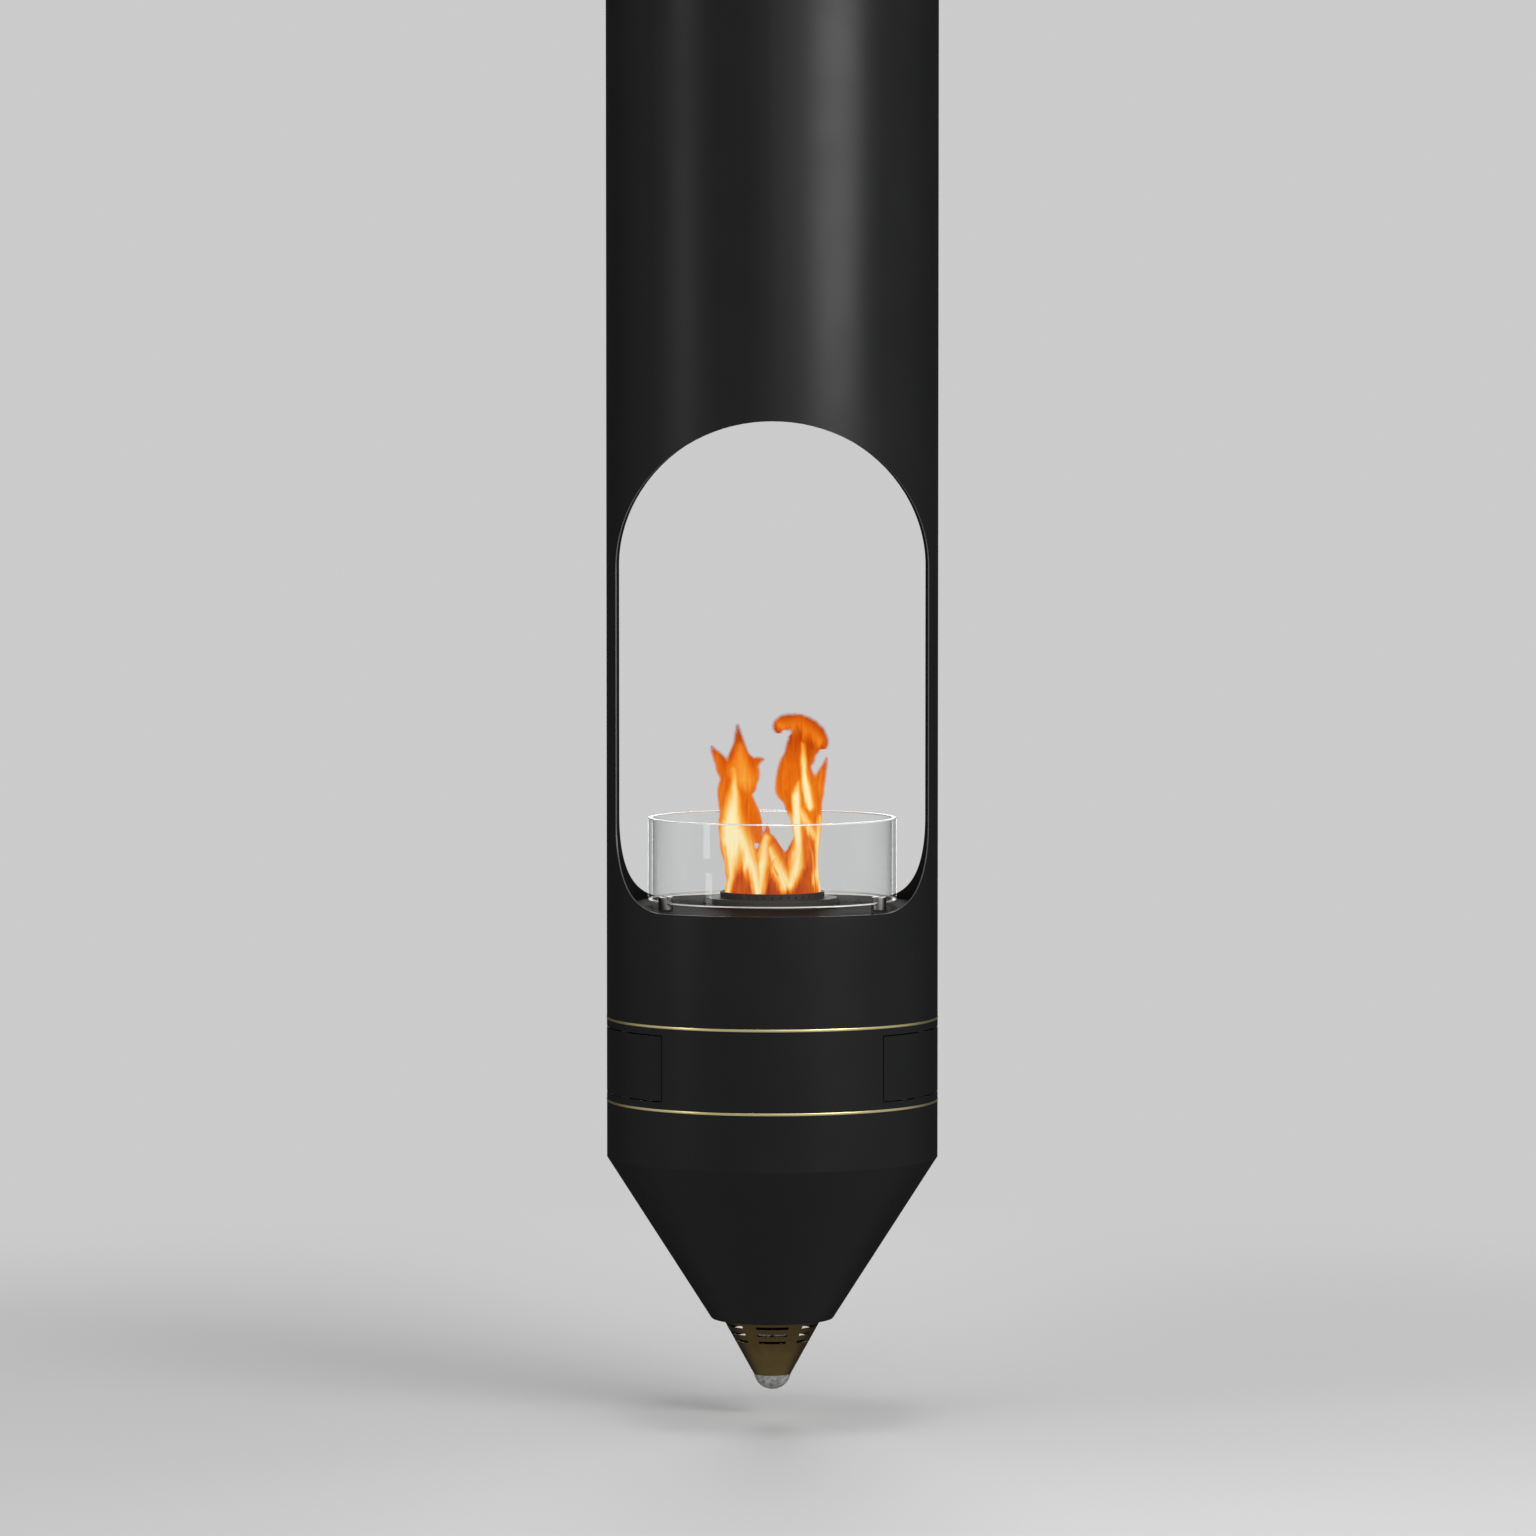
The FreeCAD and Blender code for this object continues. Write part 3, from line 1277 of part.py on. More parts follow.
def lamp_housing():
    """The slotted brass tip under the cone."""
    housing = body("lamp_housing", "lamp_end")
    drawing = sketch(housing, "XZ_Plane")
    inner_end = "lamp_end_radius - lamp_wall"
    inner_top = "lamp_top_radius - lamp_wall - lamp_slope_share * lamp_spigot_wall"
    spigot_bore = "lamp_spigot_radius - lamp_spigot_wall"
    polygon(drawing, [
        (inner_end, "0"),
        ("lamp_end_radius", "0"),
        ("lamp_top_radius", "lamp_height"),
        ("lamp_spigot_radius", "lamp_height"),
        ("lamp_spigot_radius", "lamp_height + lamp_spigot_height"),
        (spigot_bore, "lamp_height + lamp_spigot_height"),
        (spigot_bore, "lamp_height - lamp_spigot_wall"),
        (inner_top, "lamp_height - lamp_spigot_wall"),
    ])
    revolve(housing, drawing)
    slots = []
    for tier in range(int(size("slot_tier_count"))):
        drawing = sketch(housing, "YZ_Plane")
        middle = f"lamp_height - slot_drop - {tier} * slot_pitch"
        polygon(drawing, [
            ("-lamp_top_radius - overrun", f"{middle} - slot_height / 2"),
            ("-lamp_end_radius", f"{middle} - slot_height / 2"),
            ("-lamp_end_radius", f"{middle} + slot_height / 2"),
            ("-lamp_top_radius - overrun", f"{middle} + slot_height / 2"),
        ])
        slots.append(revolve(housing, drawing, "slot_angle", cut=True))
    repeat(housing, slots, "slot_count")


def led_heatsink():
    """The finned heat sink, whose foot fits the taper inside the brass tip."""
    heatsink = body("led_heatsink", "lamp_end")
    drawing = sketch(heatsink, "XZ_Plane")
    foot = "heatsink_rise"
    foot_top = "heatsink_rise + heatsink_foot"
    cone_at = "lamp_end_radius - lamp_wall - fit_gap + lamp_slope_share"
    corners = [("0", foot), (f"{cone_at} * {foot}", foot), (f"{cone_at} * ({foot_top})", foot_top)]
    corners.append(("heatsink_stem_radius", foot_top))
    for fin in range(1, int(size("heatsink_fin_count")) + 1):
        low = f"{foot_top} + {fin} * heatsink_fin_pitch - heatsink_fin_sheet"
        high = f"{foot_top} + {fin} * heatsink_fin_pitch"
        corners += [("heatsink_stem_radius", low), ("heatsink_fin_radius", low), ("heatsink_fin_radius", high)]
        if fin < int(size("heatsink_fin_count")):
            corners.append(("heatsink_stem_radius", high))
    corners.append(("0", high))
    polygon(drawing, corners)
    revolve(heatsink, drawing)


def led_board():
    """The round board under the heat sink, with its LED."""
    board = body("led_board", "lamp_end + heatsink_rise - led_board_thickness")
    bars(board, "led_board_radius", "led_board_thickness", [("0", "0")])
    bars(board, "led_radius", "led_height", [("0", "0")], "-led_height")


def dome_lens():
    """The frosted dome, a cap of a sphere with a neck that fits the brass tip."""
    dome = body("dome_lens", "lamp_end")
    for kind, radius in (("AdditiveSphere", "dome_sphere_radius"),
                         ("SubtractiveSphere", "dome_sphere_radius - dome_wall")):
        ball = dome.newObject("PartDesign::" + kind, "dome_" + kind.lower())
        ball.AttachmentSupport = (origin_part(dome, "XY_Plane"), [""])
        ball.MapMode = "FlatFace"
        ball.setExpression("Radius", bound(radius))
        ball.setExpression("AttachmentOffset.Base.z", bound("dome_sphere_radius - dome_height"))
    drawing = sketch(dome)
    circle(drawing, "dome_sphere_radius + overrun")
    pocket(dome, drawing, "dome_sphere_radius * 2", other_way=True)
    ring(dome, "dome_neck_radius", "dome_neck_radius - dome_neck_wall", "dome_neck_height")


def lamp_lead():
    """The lead from the control box, round the tank and down to the lamp's heat sink."""
    height = size("band_end") + size("lead_box_rise")
    below_tank = size("shell_top") - size("tank_height") - size("lead_tank_clear")
    end = size("lamp_end") + size("heatsink_rise") + size("heatsink_foot")
    end += size("heatsink_fin_count") * size("heatsink_fin_pitch")
    route = [
        Vector(size("lead_x"), size("box_wall") - size("box_front"), height),
        Vector(size("lead_x"), size("lead_y"), height),
        Vector(size("lead_x"), size("lead_y"), below_tank),
        Vector(0, 0, end + size("lead_centre_rise")),
        Vector(0, 0, end),
    ]
    run_share = 0.45
    radii = []
    for before, corner, after in zip(route, route[1:], route[2:]):
        turn = (corner - before).getAngle(after - corner)
        shorter = min((corner - before).Length, (after - corner).Length)
        radii.append(run_share * shorter / math.tan(turn / 2))
    print("lamp lead bends, mm:", [round(radius, 1) for radius in radii])
    pieces["lamp_cable"] = shaped("lamp_cable", bent_bar(route, radii, size("lead_radius")))


ceiling()
upper_tube()
tube_screws()
fire_tube()
baffle()
hearth()
pan_screws()
glass()
burner_tray()
burner_screen()
burner_disc()
burner_crown()
probes()
insulation()
shell_flanges()
bulkheads()
fasteners()
hatches()
latches()
partitions()
fuel_tank()
tank_straps()
filler_neck()
filler_cap()
level_gauge()
fuel_pump()
control_box()
control_panel()
power_switch()
start_button()
charge_socket()
battery_pack()
lower_shell()
cone()
lamp_housing()
led_heatsink()
led_board()
dome_lens()
lamp_lead()
doc.recompute()

faults = [item.Name for item in doc.Objects if "Invalid" in item.State or "Error" in item.State]
for label, piece in pieces.items():
    if piece.Shape.isNull() or not piece.Shape.isValid() or not piece.Shape.Solids:
        faults.append(label)
if faults:
    raise RuntimeError(f"these objects failed: {faults}")
os.makedirs("parts", exist_ok=True)
for label, piece in pieces.items():
    piece.Shape.exportStep(f"parts/{label}.step")
    print(label, len(piece.Shape.Solids), round(piece.Shape.Volume))
print(len(pieces), "pieces")
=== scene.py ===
"""A ceiling-hung bioethanol fireplace: satin black steel tube, glass-ringed burner, brass rings and lamp tip.

Metres, +Z up. The origin is the centre of the ceiling plate's upper face, and the front faces -Y.
"""
import math
import bmesh
import bpy
from mathutils import Matrix, Vector


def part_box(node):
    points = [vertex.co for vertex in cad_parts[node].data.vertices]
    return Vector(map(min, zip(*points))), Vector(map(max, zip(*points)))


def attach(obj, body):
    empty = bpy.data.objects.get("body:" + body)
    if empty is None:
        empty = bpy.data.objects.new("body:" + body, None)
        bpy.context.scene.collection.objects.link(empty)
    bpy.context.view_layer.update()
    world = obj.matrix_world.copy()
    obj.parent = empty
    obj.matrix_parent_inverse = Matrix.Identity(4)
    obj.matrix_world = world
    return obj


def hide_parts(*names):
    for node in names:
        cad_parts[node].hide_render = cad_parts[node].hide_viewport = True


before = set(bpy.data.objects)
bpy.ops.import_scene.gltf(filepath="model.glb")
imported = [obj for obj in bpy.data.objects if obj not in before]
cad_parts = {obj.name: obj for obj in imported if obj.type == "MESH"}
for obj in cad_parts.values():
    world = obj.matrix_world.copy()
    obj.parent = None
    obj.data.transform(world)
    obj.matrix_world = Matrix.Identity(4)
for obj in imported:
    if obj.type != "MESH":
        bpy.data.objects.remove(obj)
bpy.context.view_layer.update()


# Ceiling plate and collar
# A 6 mm steel plate with four bolt holes and a rolled collar under it, which the tube slides over.
# Both have the satin black powder coat of the whole body: fine grain, faintly uneven gloss.
MM = 0.001


class Value:
    """One output of a material's nodes. Arithmetic on it adds Math nodes."""

    def __init__(self, socket):
        self.socket = socket

    def node(self, kind, settings, inputs, output=0):
        """Another node of the same material: its settings first, then its sockets' values or links."""
        tree = self.socket.id_data
        made = tree.nodes.new("ShaderNode" + kind)
        for name, setting in settings.items():
            if name == "stops":
                stops = made.color_ramp.elements
                while len(stops) < len(setting):
                    stops.new(1.0)
                for stop, (position, colour) in zip(stops, setting):
                    stop.position = position
                    stop.color = (*colour, 1.0)
            else:
                setattr(made, name, setting)
        for name, value in inputs.items():
            if isinstance(value, Value):
                tree.links.new(value.socket, made.inputs[name])
            else:
                made.inputs[name].default_value = value
        return Value(made.outputs[output])

    def math(self, operation, first, second):
        """A Math node over two values or numbers."""
        return self.node("Math", {"operation": operation}, {0: first, 1: second})

    def __add__(self, other):
        return self.math("ADD", self, other)

    def __radd__(self, other):
        return self.math("ADD", other, self)

    def __sub__(self, other):
        return self.math("SUBTRACT", self, other)

    def __rsub__(self, other):
        return self.math("SUBTRACT", other, self)

    def __mul__(self, other):
        return self.math("MULTIPLY", self, other)

    def __rmul__(self, other):
        return self.math("MULTIPLY", other, self)

    def __pow__(self, other):
        return self.math("POWER", self, other)

    def stretched(self, x, y, z):
        """This place with each axis multiplied."""
        return self.node("VectorMath", {"operation": "MULTIPLY"}, {0: self, 1: (x, y, z)})

    def grain(self, scale, detail=4.0, distortion=0.0):
        """Noise from 0 to 1 at this place, with so many grains to the metre."""
        inputs = {"Vector": self, "Scale": scale, "Detail": detail, "Distortion": distortion}
        return self.node("TexNoise", {}, inputs)

    def held(self):
        """This value, kept from 0 to 1."""
        return self.node("Clamp", {}, {"Value": self})

    def between(self, low, high):
        """0 up to low, 1 from high, and smooth between them."""
        inputs = {"Value": self, "From Min": low, "From Max": high}
        return self.node("MapRange", {"interpolation_type": "SMOOTHSTEP"}, inputs)

    def blend(self, first, second):
        """A colour that goes from the first to the second as this value goes from 0 to 1."""
        first = first if isinstance(first, Value) else (*first, 1.0)
        second = second if isinstance(second, Value) else (*second, 1.0)
        return self.node("Mix", {"data_type": "RGBA"}, {0: self, 6: first, 7: second}, output=2)

    def ramp(self, stops):
        """A colour from a row of stops, each a position and a colour."""
        return self.node("ValToRGB", {"stops": stops}, {0: self})

    def part(self, axis):
        """One coordinate of this place."""
        return self.node("SeparateXYZ", {}, {0: self}, output="XYZ".index(axis))

    def from_axis(self):
        """The distance of this place from the tube's axis."""
        flat = self.stretched(1, 1, 0)
        return flat.node("VectorMath", {"operation": "LENGTH"}, {0: flat}, output="Value")


def new_finish(name):
    """An empty material and the place on the object that its nodes start from."""
    finish = bpy.data.materials.new(name)
    finish.use_nodes = True
    place = finish.node_tree.nodes.new("ShaderNodeTexCoord").outputs["Object"]
    return finish, Value(place)


def lay_on(finish, inputs, height=None, depth=0.0):
    """Set or link the surface's values, and add relief of the given depth from a height value."""
    tree = finish.node_tree
    surface = tree.nodes["Principled BSDF"]
    if height is not None:
        inputs = dict(inputs)
        inputs["Normal"] = height.node("Bump", {}, {"Height": height, "Distance": depth})
    for name, value in inputs.items():
        if isinstance(value, Value):
            tree.links.new(value.socket, surface.inputs[name])
        else:
            surface.inputs[name].default_value = value
    return finish


def dress(finish, *nodes):
    """Give CAD pieces a finish."""
    for node in nodes:
        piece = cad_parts[node]
        piece.data.materials.clear()
        piece.data.materials.append(finish)


def coat_grain(place):
    """The fine specks of a powder coat, and its relief: the specks on a coarser wave."""
    speck = place.grain(900.0, 2.0)
    return speck, speck + place.grain(260.0, 2.0) * 1.5


def coat_look(place, dark, light, smooth, rough):
    """Colour, roughness and relief of a powder coat, clouded between two colours and two roughnesses."""
    cloud = place.grain(7.0, 3.0)
    speck, relief = coat_grain(place)
    colour = (cloud * 0.7 + speck * 0.3).blend(dark, light)
    roughness = smooth + cloud.between(0.35, 0.7) * (rough - smooth) + (speck - 0.5) * 0.06
    return colour, roughness, relief


COAT_SHEEN = 0.2
COAT_DEPTH = 0.025 * MM


def powder_coat(name, *tones):
    """A finish with the same powder coat all over."""
    finish, place = new_finish(name)
    colour, roughness, relief = coat_look(place, *tones)
    inputs = {"Base Color": colour, "Roughness": roughness, "Specular IOR Level": COAT_SHEEN}
    return lay_on(finish, inputs, relief, COAT_DEPTH)


BLACK_TONES = ((0.0055, 0.0057, 0.0062), (0.0100, 0.0102, 0.0107), 0.36, 0.42)
BLACK_COAT = powder_coat("black_coat", *BLACK_TONES)
dress(BLACK_COAT, "ceiling_plate", "ceiling_collar")


# Upper tube, coupler and fire tube
# Rolled 2 mm steel with the same coat. The arched fire opening is laser cut; its edge is painted a lighter
# grey, partly bare steel and partly a painted highlight, and a fine near-black line of painted shade marks
# the joint of the two tubes.
dress(BLACK_COAT, "extension_tube", "tube_coupler")

EDGE_BLUR = 0.25 * MM
JOINT_LINE = 0.8 * MM
# Near-black painted shade, for the shadow in the gap where the two tubes meet.
PAINTED_JOINT_SHADE = (0.001, 0.001, 0.001)
# Bare steel grey of the cut edge, made lighter as a painted highlight of the lit edge.
CUT_STEEL_AND_HIGHLIGHT = (0.10, 0.10, 0.102)
tube_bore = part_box("tube_coupler")[1].x
tube_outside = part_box("fire_tube")[1].x
tube_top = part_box("fire_tube")[1].z
opening_coat, place = new_finish("opening_coat")
off_axis = place.from_axis()
outside = off_axis.between(tube_outside - 2 * EDGE_BLUR, tube_outside - EDGE_BLUR)
inside = 1 - off_axis.between(tube_bore + 2 * EDGE_BLUR, tube_bore + 3 * EDGE_BLUR)
# The cut edge mask: its lighter grey is bare steel and partly a painted highlight.
cut_edge = 1 - outside - inside
# The joint mask: near-black painted shade in its colour, and a duller, sunken groove in roughness and relief.
joint_line = place.part("Z").between(tube_top - JOINT_LINE, tube_top - JOINT_LINE / 2)
colour, roughness, relief = coat_look(place, *BLACK_TONES)
lay_on(opening_coat, {
    # Colour: the coat, with the painted shade of the joint and the cut edge's lighter grey, which is partly a
    # painted highlight.
    "Base Color": cut_edge.blend(joint_line.blend(colour, PAINTED_JOINT_SHADE), CUT_STEEL_AND_HIGHLIGHT),
    "Roughness": roughness - cut_edge * 0.08 + joint_line * 0.4,
    "Specular IOR Level": COAT_SHEEN,
}, relief - joint_line * 12, COAT_DEPTH)
dress(opening_coat, "fire_tube")


# Button-head screws of the tube
# Black oxide M6 screws with a domed head and a 4 mm hexagon socket, in three rows of eight.
FULL_TURN = 2 * math.pi


def turned(rings, count, closed=False):
    """Vertices and faces of a skin over rings, each a list of points. Rings of one point close an end."""
    points = []
    starts = []
    for ring in rings:
        starts.append(len(points))
        points += ring

    def number(ring, i):
        """The number of a ring's point, or of its only one."""
        return starts[ring] + (i % count if len(rings[ring]) > 1 else 0)

    faces = []
    for low in range(len(rings) if closed else len(rings) - 1):
        high = (low + 1) % len(rings)
        for i in range(count):
            corners = [number(low, i), number(high, i), number(high, i + 1), number(low, i + 1)]
            faces.append(list(dict.fromkeys(corners)))
    return points, faces


def circle(radius, level, count):
    """A ring of points at even angles, or a single point where there is no radius."""
    if radius == 0:
        return [Vector((0, 0, level))]
    angles = [FULL_TURN * i / count for i in range(count)]
    return [Vector((radius * math.cos(angle), radius * math.sin(angle), level)) for angle in angles]


def hexagon(half_flats, level, count):
    """A ring of points on a hexagon, at even angles."""
    points = []
    for i in range(count):
        angle = FULL_TURN * i / count
        off_flat = (angle + math.pi / 6) % (math.pi / 3) - math.pi / 6
        radius = half_flats / math.cos(off_flat)
        points.append(Vector((radius * math.cos(angle), radius * math.sin(angle), level)))
    return points


def new_piece(name, parts, finish, body, smooth_angle=35):
    """One mesh piece of several sets of points and faces, which rides on a CAD body."""
    mesh = bpy.data.meshes.new(name)
    builder = bmesh.new()
    for points, faces in parts:
        made = [builder.verts.new(point) for point in points]
        for face in faces:
            builder.faces.new([made[i] for i in face])
    bmesh.ops.recalc_face_normals(builder, faces=builder.faces)
    for face in builder.faces:
        face.smooth = True
    for edge in builder.edges:
        edge.smooth = edge.is_manifold and edge.calc_face_angle() < math.radians(smooth_angle)
    builder.to_mesh(mesh)
    builder.free()
    mesh.materials.append(finish)
    piece = bpy.data.objects.new(name, mesh)
    bpy.context.scene.collection.objects.link(piece)
    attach(piece, body)
    return piece


def moved(part, matrix):
    """A set of points and faces, put elsewhere."""
    points, faces = part
    return [matrix @ point for point in points], faces


black_oxide, place = new_finish("black_oxide")
wear = place.grain(420.0, 4.0)
lay_on(black_oxide, {
    "Base Color": wear.between(0.55, 0.8).blend((0.016, 0.016, 0.018), (0.06, 0.058, 0.055)),
    "Metallic": 0.6,
    "Roughness": 0.34 + wear * 0.16,
}, place.grain(1600.0), 0.01 * MM)

SCREW_SIDES = 24
SCREWS_IN_ROW = 8
ROW_TO_JOINT = 22 * MM
SHANK_RADIUS = 3 * MM
SHANK_LENGTH = 6.3 * MM
HEAD_RADIUS = 5.5 * MM
HEAD_HEIGHT = 3 * MM
HEAD_TOP_RADIUS = 2.9 * MM
HEAD_EDGE = 0.2 * MM
SEAT_GAP = 0.05 * MM
DOME_SHARES = (0.08, 0.3, 0.55, 0.78, 0.93, 1.0)
DOME_FULLNESS = 0.85
SOCKET_HALF_FLATS = 2 * MM
SOCKET_DEPTH = 1.9 * MM
SOCKET_CHAMFER = 0.15 * MM
SOCKET_POINT = 0.5 * MM
# The sockets rest at uneven angles: radians from one screw of a row to the next, and to the metre of height.
SPIN_STEP = 0.7
SPIN_PER_METRE = 40
profile = [(0, -SHANK_LENGTH), (SHANK_RADIUS, -SHANK_LENGTH), (SHANK_RADIUS, SEAT_GAP),
           (HEAD_RADIUS - HEAD_EDGE, SEAT_GAP)]
for share in DOME_SHARES:
    drawn_in = (HEAD_RADIUS - HEAD_TOP_RADIUS) * (1 - math.sqrt(1 - share ** 2)) ** DOME_FULLNESS
    profile.append((HEAD_RADIUS - drawn_in, HEAD_EDGE + share * (HEAD_HEIGHT - HEAD_EDGE)))
screw_rings = [circle(radius, level, SCREW_SIDES) for radius, level in profile]
screw_rings += [
    hexagon(SOCKET_HALF_FLATS + SOCKET_CHAMFER, HEAD_HEIGHT, SCREW_SIDES),
    hexagon(SOCKET_HALF_FLATS, HEAD_HEIGHT - SOCKET_CHAMFER, SCREW_SIDES),
    hexagon(SOCKET_HALF_FLATS, HEAD_HEIGHT - SOCKET_DEPTH, SCREW_SIDES),
    circle(0, HEAD_HEIGHT - SOCKET_DEPTH - SOCKET_POINT, SCREW_SIDES),
]
screw = turned(screw_rings, SCREW_SIDES)
upper_low, upper_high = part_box("extension_tube")
top_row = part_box("tube_screws")[1].z - HEAD_RADIUS
screws = []
for row in (top_row, upper_low.z + ROW_TO_JOINT, upper_low.z - ROW_TO_JOINT):
    for i in range(SCREWS_IN_ROW):
        turn = Matrix.Rotation(FULL_TURN * i / SCREWS_IN_ROW, 4, "Z")
        lie = Matrix.Translation((upper_high.x, 0, row)) @ Matrix.Rotation(math.pi / 2, 4, "Y")
        spin = Matrix.Rotation(SPIN_STEP * i + SPIN_PER_METRE * row, 4, "Z")
        screws.append(moved(screw, turn @ lie @ spin))
heads = new_piece("button_screws", screws, black_oxide, "frame")
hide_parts("tube_screws")


# Heat baffle and its hooks
# Folded black steel, dulled and browned by the heat of the fire under it.
hot_coat = powder_coat("hot_coat", (0.012, 0.0105, 0.0095), (0.026, 0.021, 0.018), 0.52, 0.64)
dress(hot_coat, "heat_baffle", "baffle_brackets")


# Hearth plate, its ledge and the pan-head screws
# A 4 mm plate with a matt, heat-proof coat, faintly browned towards the burner; the screws are zinc plated.
BROWNED_TO = 75 * MM
UNTOUCHED_FROM = 135 * MM
hearth_coat, place = new_finish("hearth_coat")
cloud = place.grain(9.0, 4.0)
speck, relief = coat_grain(place)
near_fire = 1 - (place.from_axis() + (cloud - 0.5) * 0.03).between(BROWNED_TO, UNTOUCHED_FROM)
coat = (cloud * 0.7 + speck * 0.3).blend((0.009, 0.0092, 0.0098), (0.016, 0.0158, 0.016))
lay_on(hearth_coat, {
    "Base Color": near_fire.blend(coat, (0.022, 0.016, 0.012)),
    "Roughness": 0.64 + cloud * 0.12 + near_fire * 0.10,
    "Specular IOR Level": 0.03,
}, relief, COAT_DEPTH)
dress(hearth_coat, "floor_plate")
dress(BLACK_COAT, "plate_ledge")

ZINC, place = new_finish("zinc_plate")
crystal = place.grain(160.0, 5.0, 1.5)
lay_on(ZINC, {
    "Base Color": crystal.blend((0.46, 0.48, 0.52), (0.66, 0.65, 0.60)),
    "Metallic": 1.0,
    "Roughness": 0.30 + crystal * 0.18,
}, place.grain(900.0), 0.01 * MM)
dress(ZINC, "pan_screws")


# Glass posts, pads and glass cylinder
# Turned stainless posts with a slot, a heat-proof pad in each, and a clear cylinder. Its wall mirrors only
# at a slant and lets the rest straight through; its rims are ground and catch the light.
def brushed(name, dark, light, rough, up, out):
    """A metal brushed round the axis, with so many fine lines to the metre up it and out from the axis."""
    finish, place = new_finish(name)
    spread = {0: place.from_axis() * out, 1: place.part("Z") * up, 2: 0.0}
    lines = place.node("CombineXYZ", {}, spread).grain(1.0, 5.0)
    cloud = place.grain(24.0, 3.0)
    return lay_on(finish, {
        "Base Color": (lines * 0.6 + cloud * 0.4).blend(dark, light),
        "Metallic": 1.0,
        "Roughness": rough + (lines - 0.5) * 0.16 + (cloud - 0.5) * 0.1,
    }, lines, 0.012 * MM)


STAINLESS = brushed("stainless", (0.36, 0.35, 0.33), (0.60, 0.59, 0.57), 0.30, 5200.0, 900.0)
dress(STAINLESS, "glass_posts")

fibre_pad, place = new_finish("fibre_pad")
fuzz = place.grain(700.0, 6.0)
lay_on(fibre_pad, {
    "Base Color": fuzz.blend((0.02, 0.02, 0.02), (0.05, 0.048, 0.045)),
    "Roughness": 0.78 + fuzz * 0.15,
}, fuzz, 0.08 * MM)
dress(fibre_pad, "glass_pads")

GROUND_TO = 1.1 * MM
CLEAR_FROM = 1.9 * MM
clear_glass, place = new_finish("clear_glass")
glass_low, glass_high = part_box("glass_cylinder")
level = place.part("Z")
smear = place.stretched(1.0, 1.0, 0.35).grain(26.0, 5.0, 0.6).between(0.55, 0.85)
ground = place.grain(900.0, 3.0)
at_top = level.between(glass_high.z - CLEAR_FROM, glass_high.z - GROUND_TO)
at_foot = 1 - level.between(glass_low.z + GROUND_TO, glass_low.z + CLEAR_FROM)
lay_on(clear_glass, {
    "Base Color": ground.blend((0.80, 0.83, 0.82), (0.92, 0.94, 0.93)),
    "Roughness": 0.16 + ground * 0.12,
    "Transmission Weight": 0.35,
    "IOR": 1.474,
}, ground, 0.02 * MM)
see_through = place.node("BsdfTransparent", {}, {"Color": (0.985, 0.993, 0.99, 1.0)})
sheen = place.node("BsdfGlossy", {}, {"Color": (1.0, 1.0, 1.0, 1.0), "Roughness": smear * 0.05})
slant = place.node("LayerWeight", {}, {"Blend": 0.5}, output="Facing") ** 5 * 0.55 + 0.02
wall = place.node("MixShader", {}, {0: slant, 1: see_through, 2: sheen})
tree = clear_glass.node_tree
rims = Value(tree.nodes["Principled BSDF"].outputs[0])
both = place.node("MixShader", {}, {0: at_top.math("MAXIMUM", at_top, at_foot), 1: wall, 2: rims})
tree.links.new(both.socket, tree.nodes["Material Output"].inputs["Surface"])

GLASS_SIDES = 192
GLASS_WALL = 5 * MM
RIM_ROUND = 1.2 * MM
RIM_STEPS = 4
outer = glass_high.x - RIM_ROUND
inner = glass_high.x - GLASS_WALL + RIM_ROUND
upper = glass_high.z - RIM_ROUND
lower = glass_low.z + RIM_ROUND
rings = []
centres = [(outer, upper), (inner, upper), (inner, lower), (outer, lower)]
for quarter, (middle, height) in enumerate(centres):
    for step in range(RIM_STEPS + 1):
        angle = math.pi / 2 * (quarter + step / RIM_STEPS)
        radius = middle + RIM_ROUND * math.cos(angle)
        rings.append(circle(radius, height + RIM_ROUND * math.sin(angle), GLASS_SIDES))
glass = new_piece("burner_glass", [turned(rings, GLASS_SIDES, closed=True)], clear_glass, "glass")
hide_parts("glass_cylinder")


# Burner: tray, wick, screen, cover disc, crown, igniter and flame sensor
# Stainless steel that the flames have darkened, dulled and tinted, round a block of white ceramic fibre.
burnt_steel, place = new_finish("burnt_steel")
away = place.from_axis()
lines = away * 5200.0 + place.part("Z") * 3000.0
brush = place.node("CombineXYZ", {}, {0: lines, 1: 0.0, 2: 0.0}).grain(1.0, 4.0)
cloud = place.grain(38.0, 4.0, 0.4)
tint = (away * 14.0 + (cloud - 0.5) * 0.8).ramp([
    (0.55, (0.030, 0.027, 0.028)),
    (0.80, (0.055, 0.042, 0.034)),
    (0.98, (0.040, 0.037, 0.038)),
    (1.0, (0.050, 0.047, 0.045)),
])
lay_on(burnt_steel, {
    "Base Color": tint,
    "Metallic": 0.4,
    "Roughness": 0.48 + (brush - 0.5) * 0.14 + cloud * 0.12,
    "Specular IOR Level": 0.06,
}, brush, 0.014 * MM)
dress(burnt_steel, "burner_tray", "burner_screen", "burner_disc", "burner_crown")

WHITE_TO = 20 * MM
SOOTY_FROM = 60 * MM
FIBRE, place = new_finish("ceramic_fibre")
strand = place.stretched(1.0, 1.0, 4.0).grain(380.0, 8.0, 2.0)
soot = (place.from_axis() + (place.grain(60.0) - 0.5) * 0.02).between(WHITE_TO, SOOTY_FROM)
lay_on(FIBRE, {
    "Base Color": (soot * 0.6 + strand * 0.25).blend((0.70, 0.67, 0.61), (0.26, 0.22, 0.19)),
    "Roughness": 0.9,
}, strand, 0.5 * MM)
dress(FIBRE, "ceramic_wick")

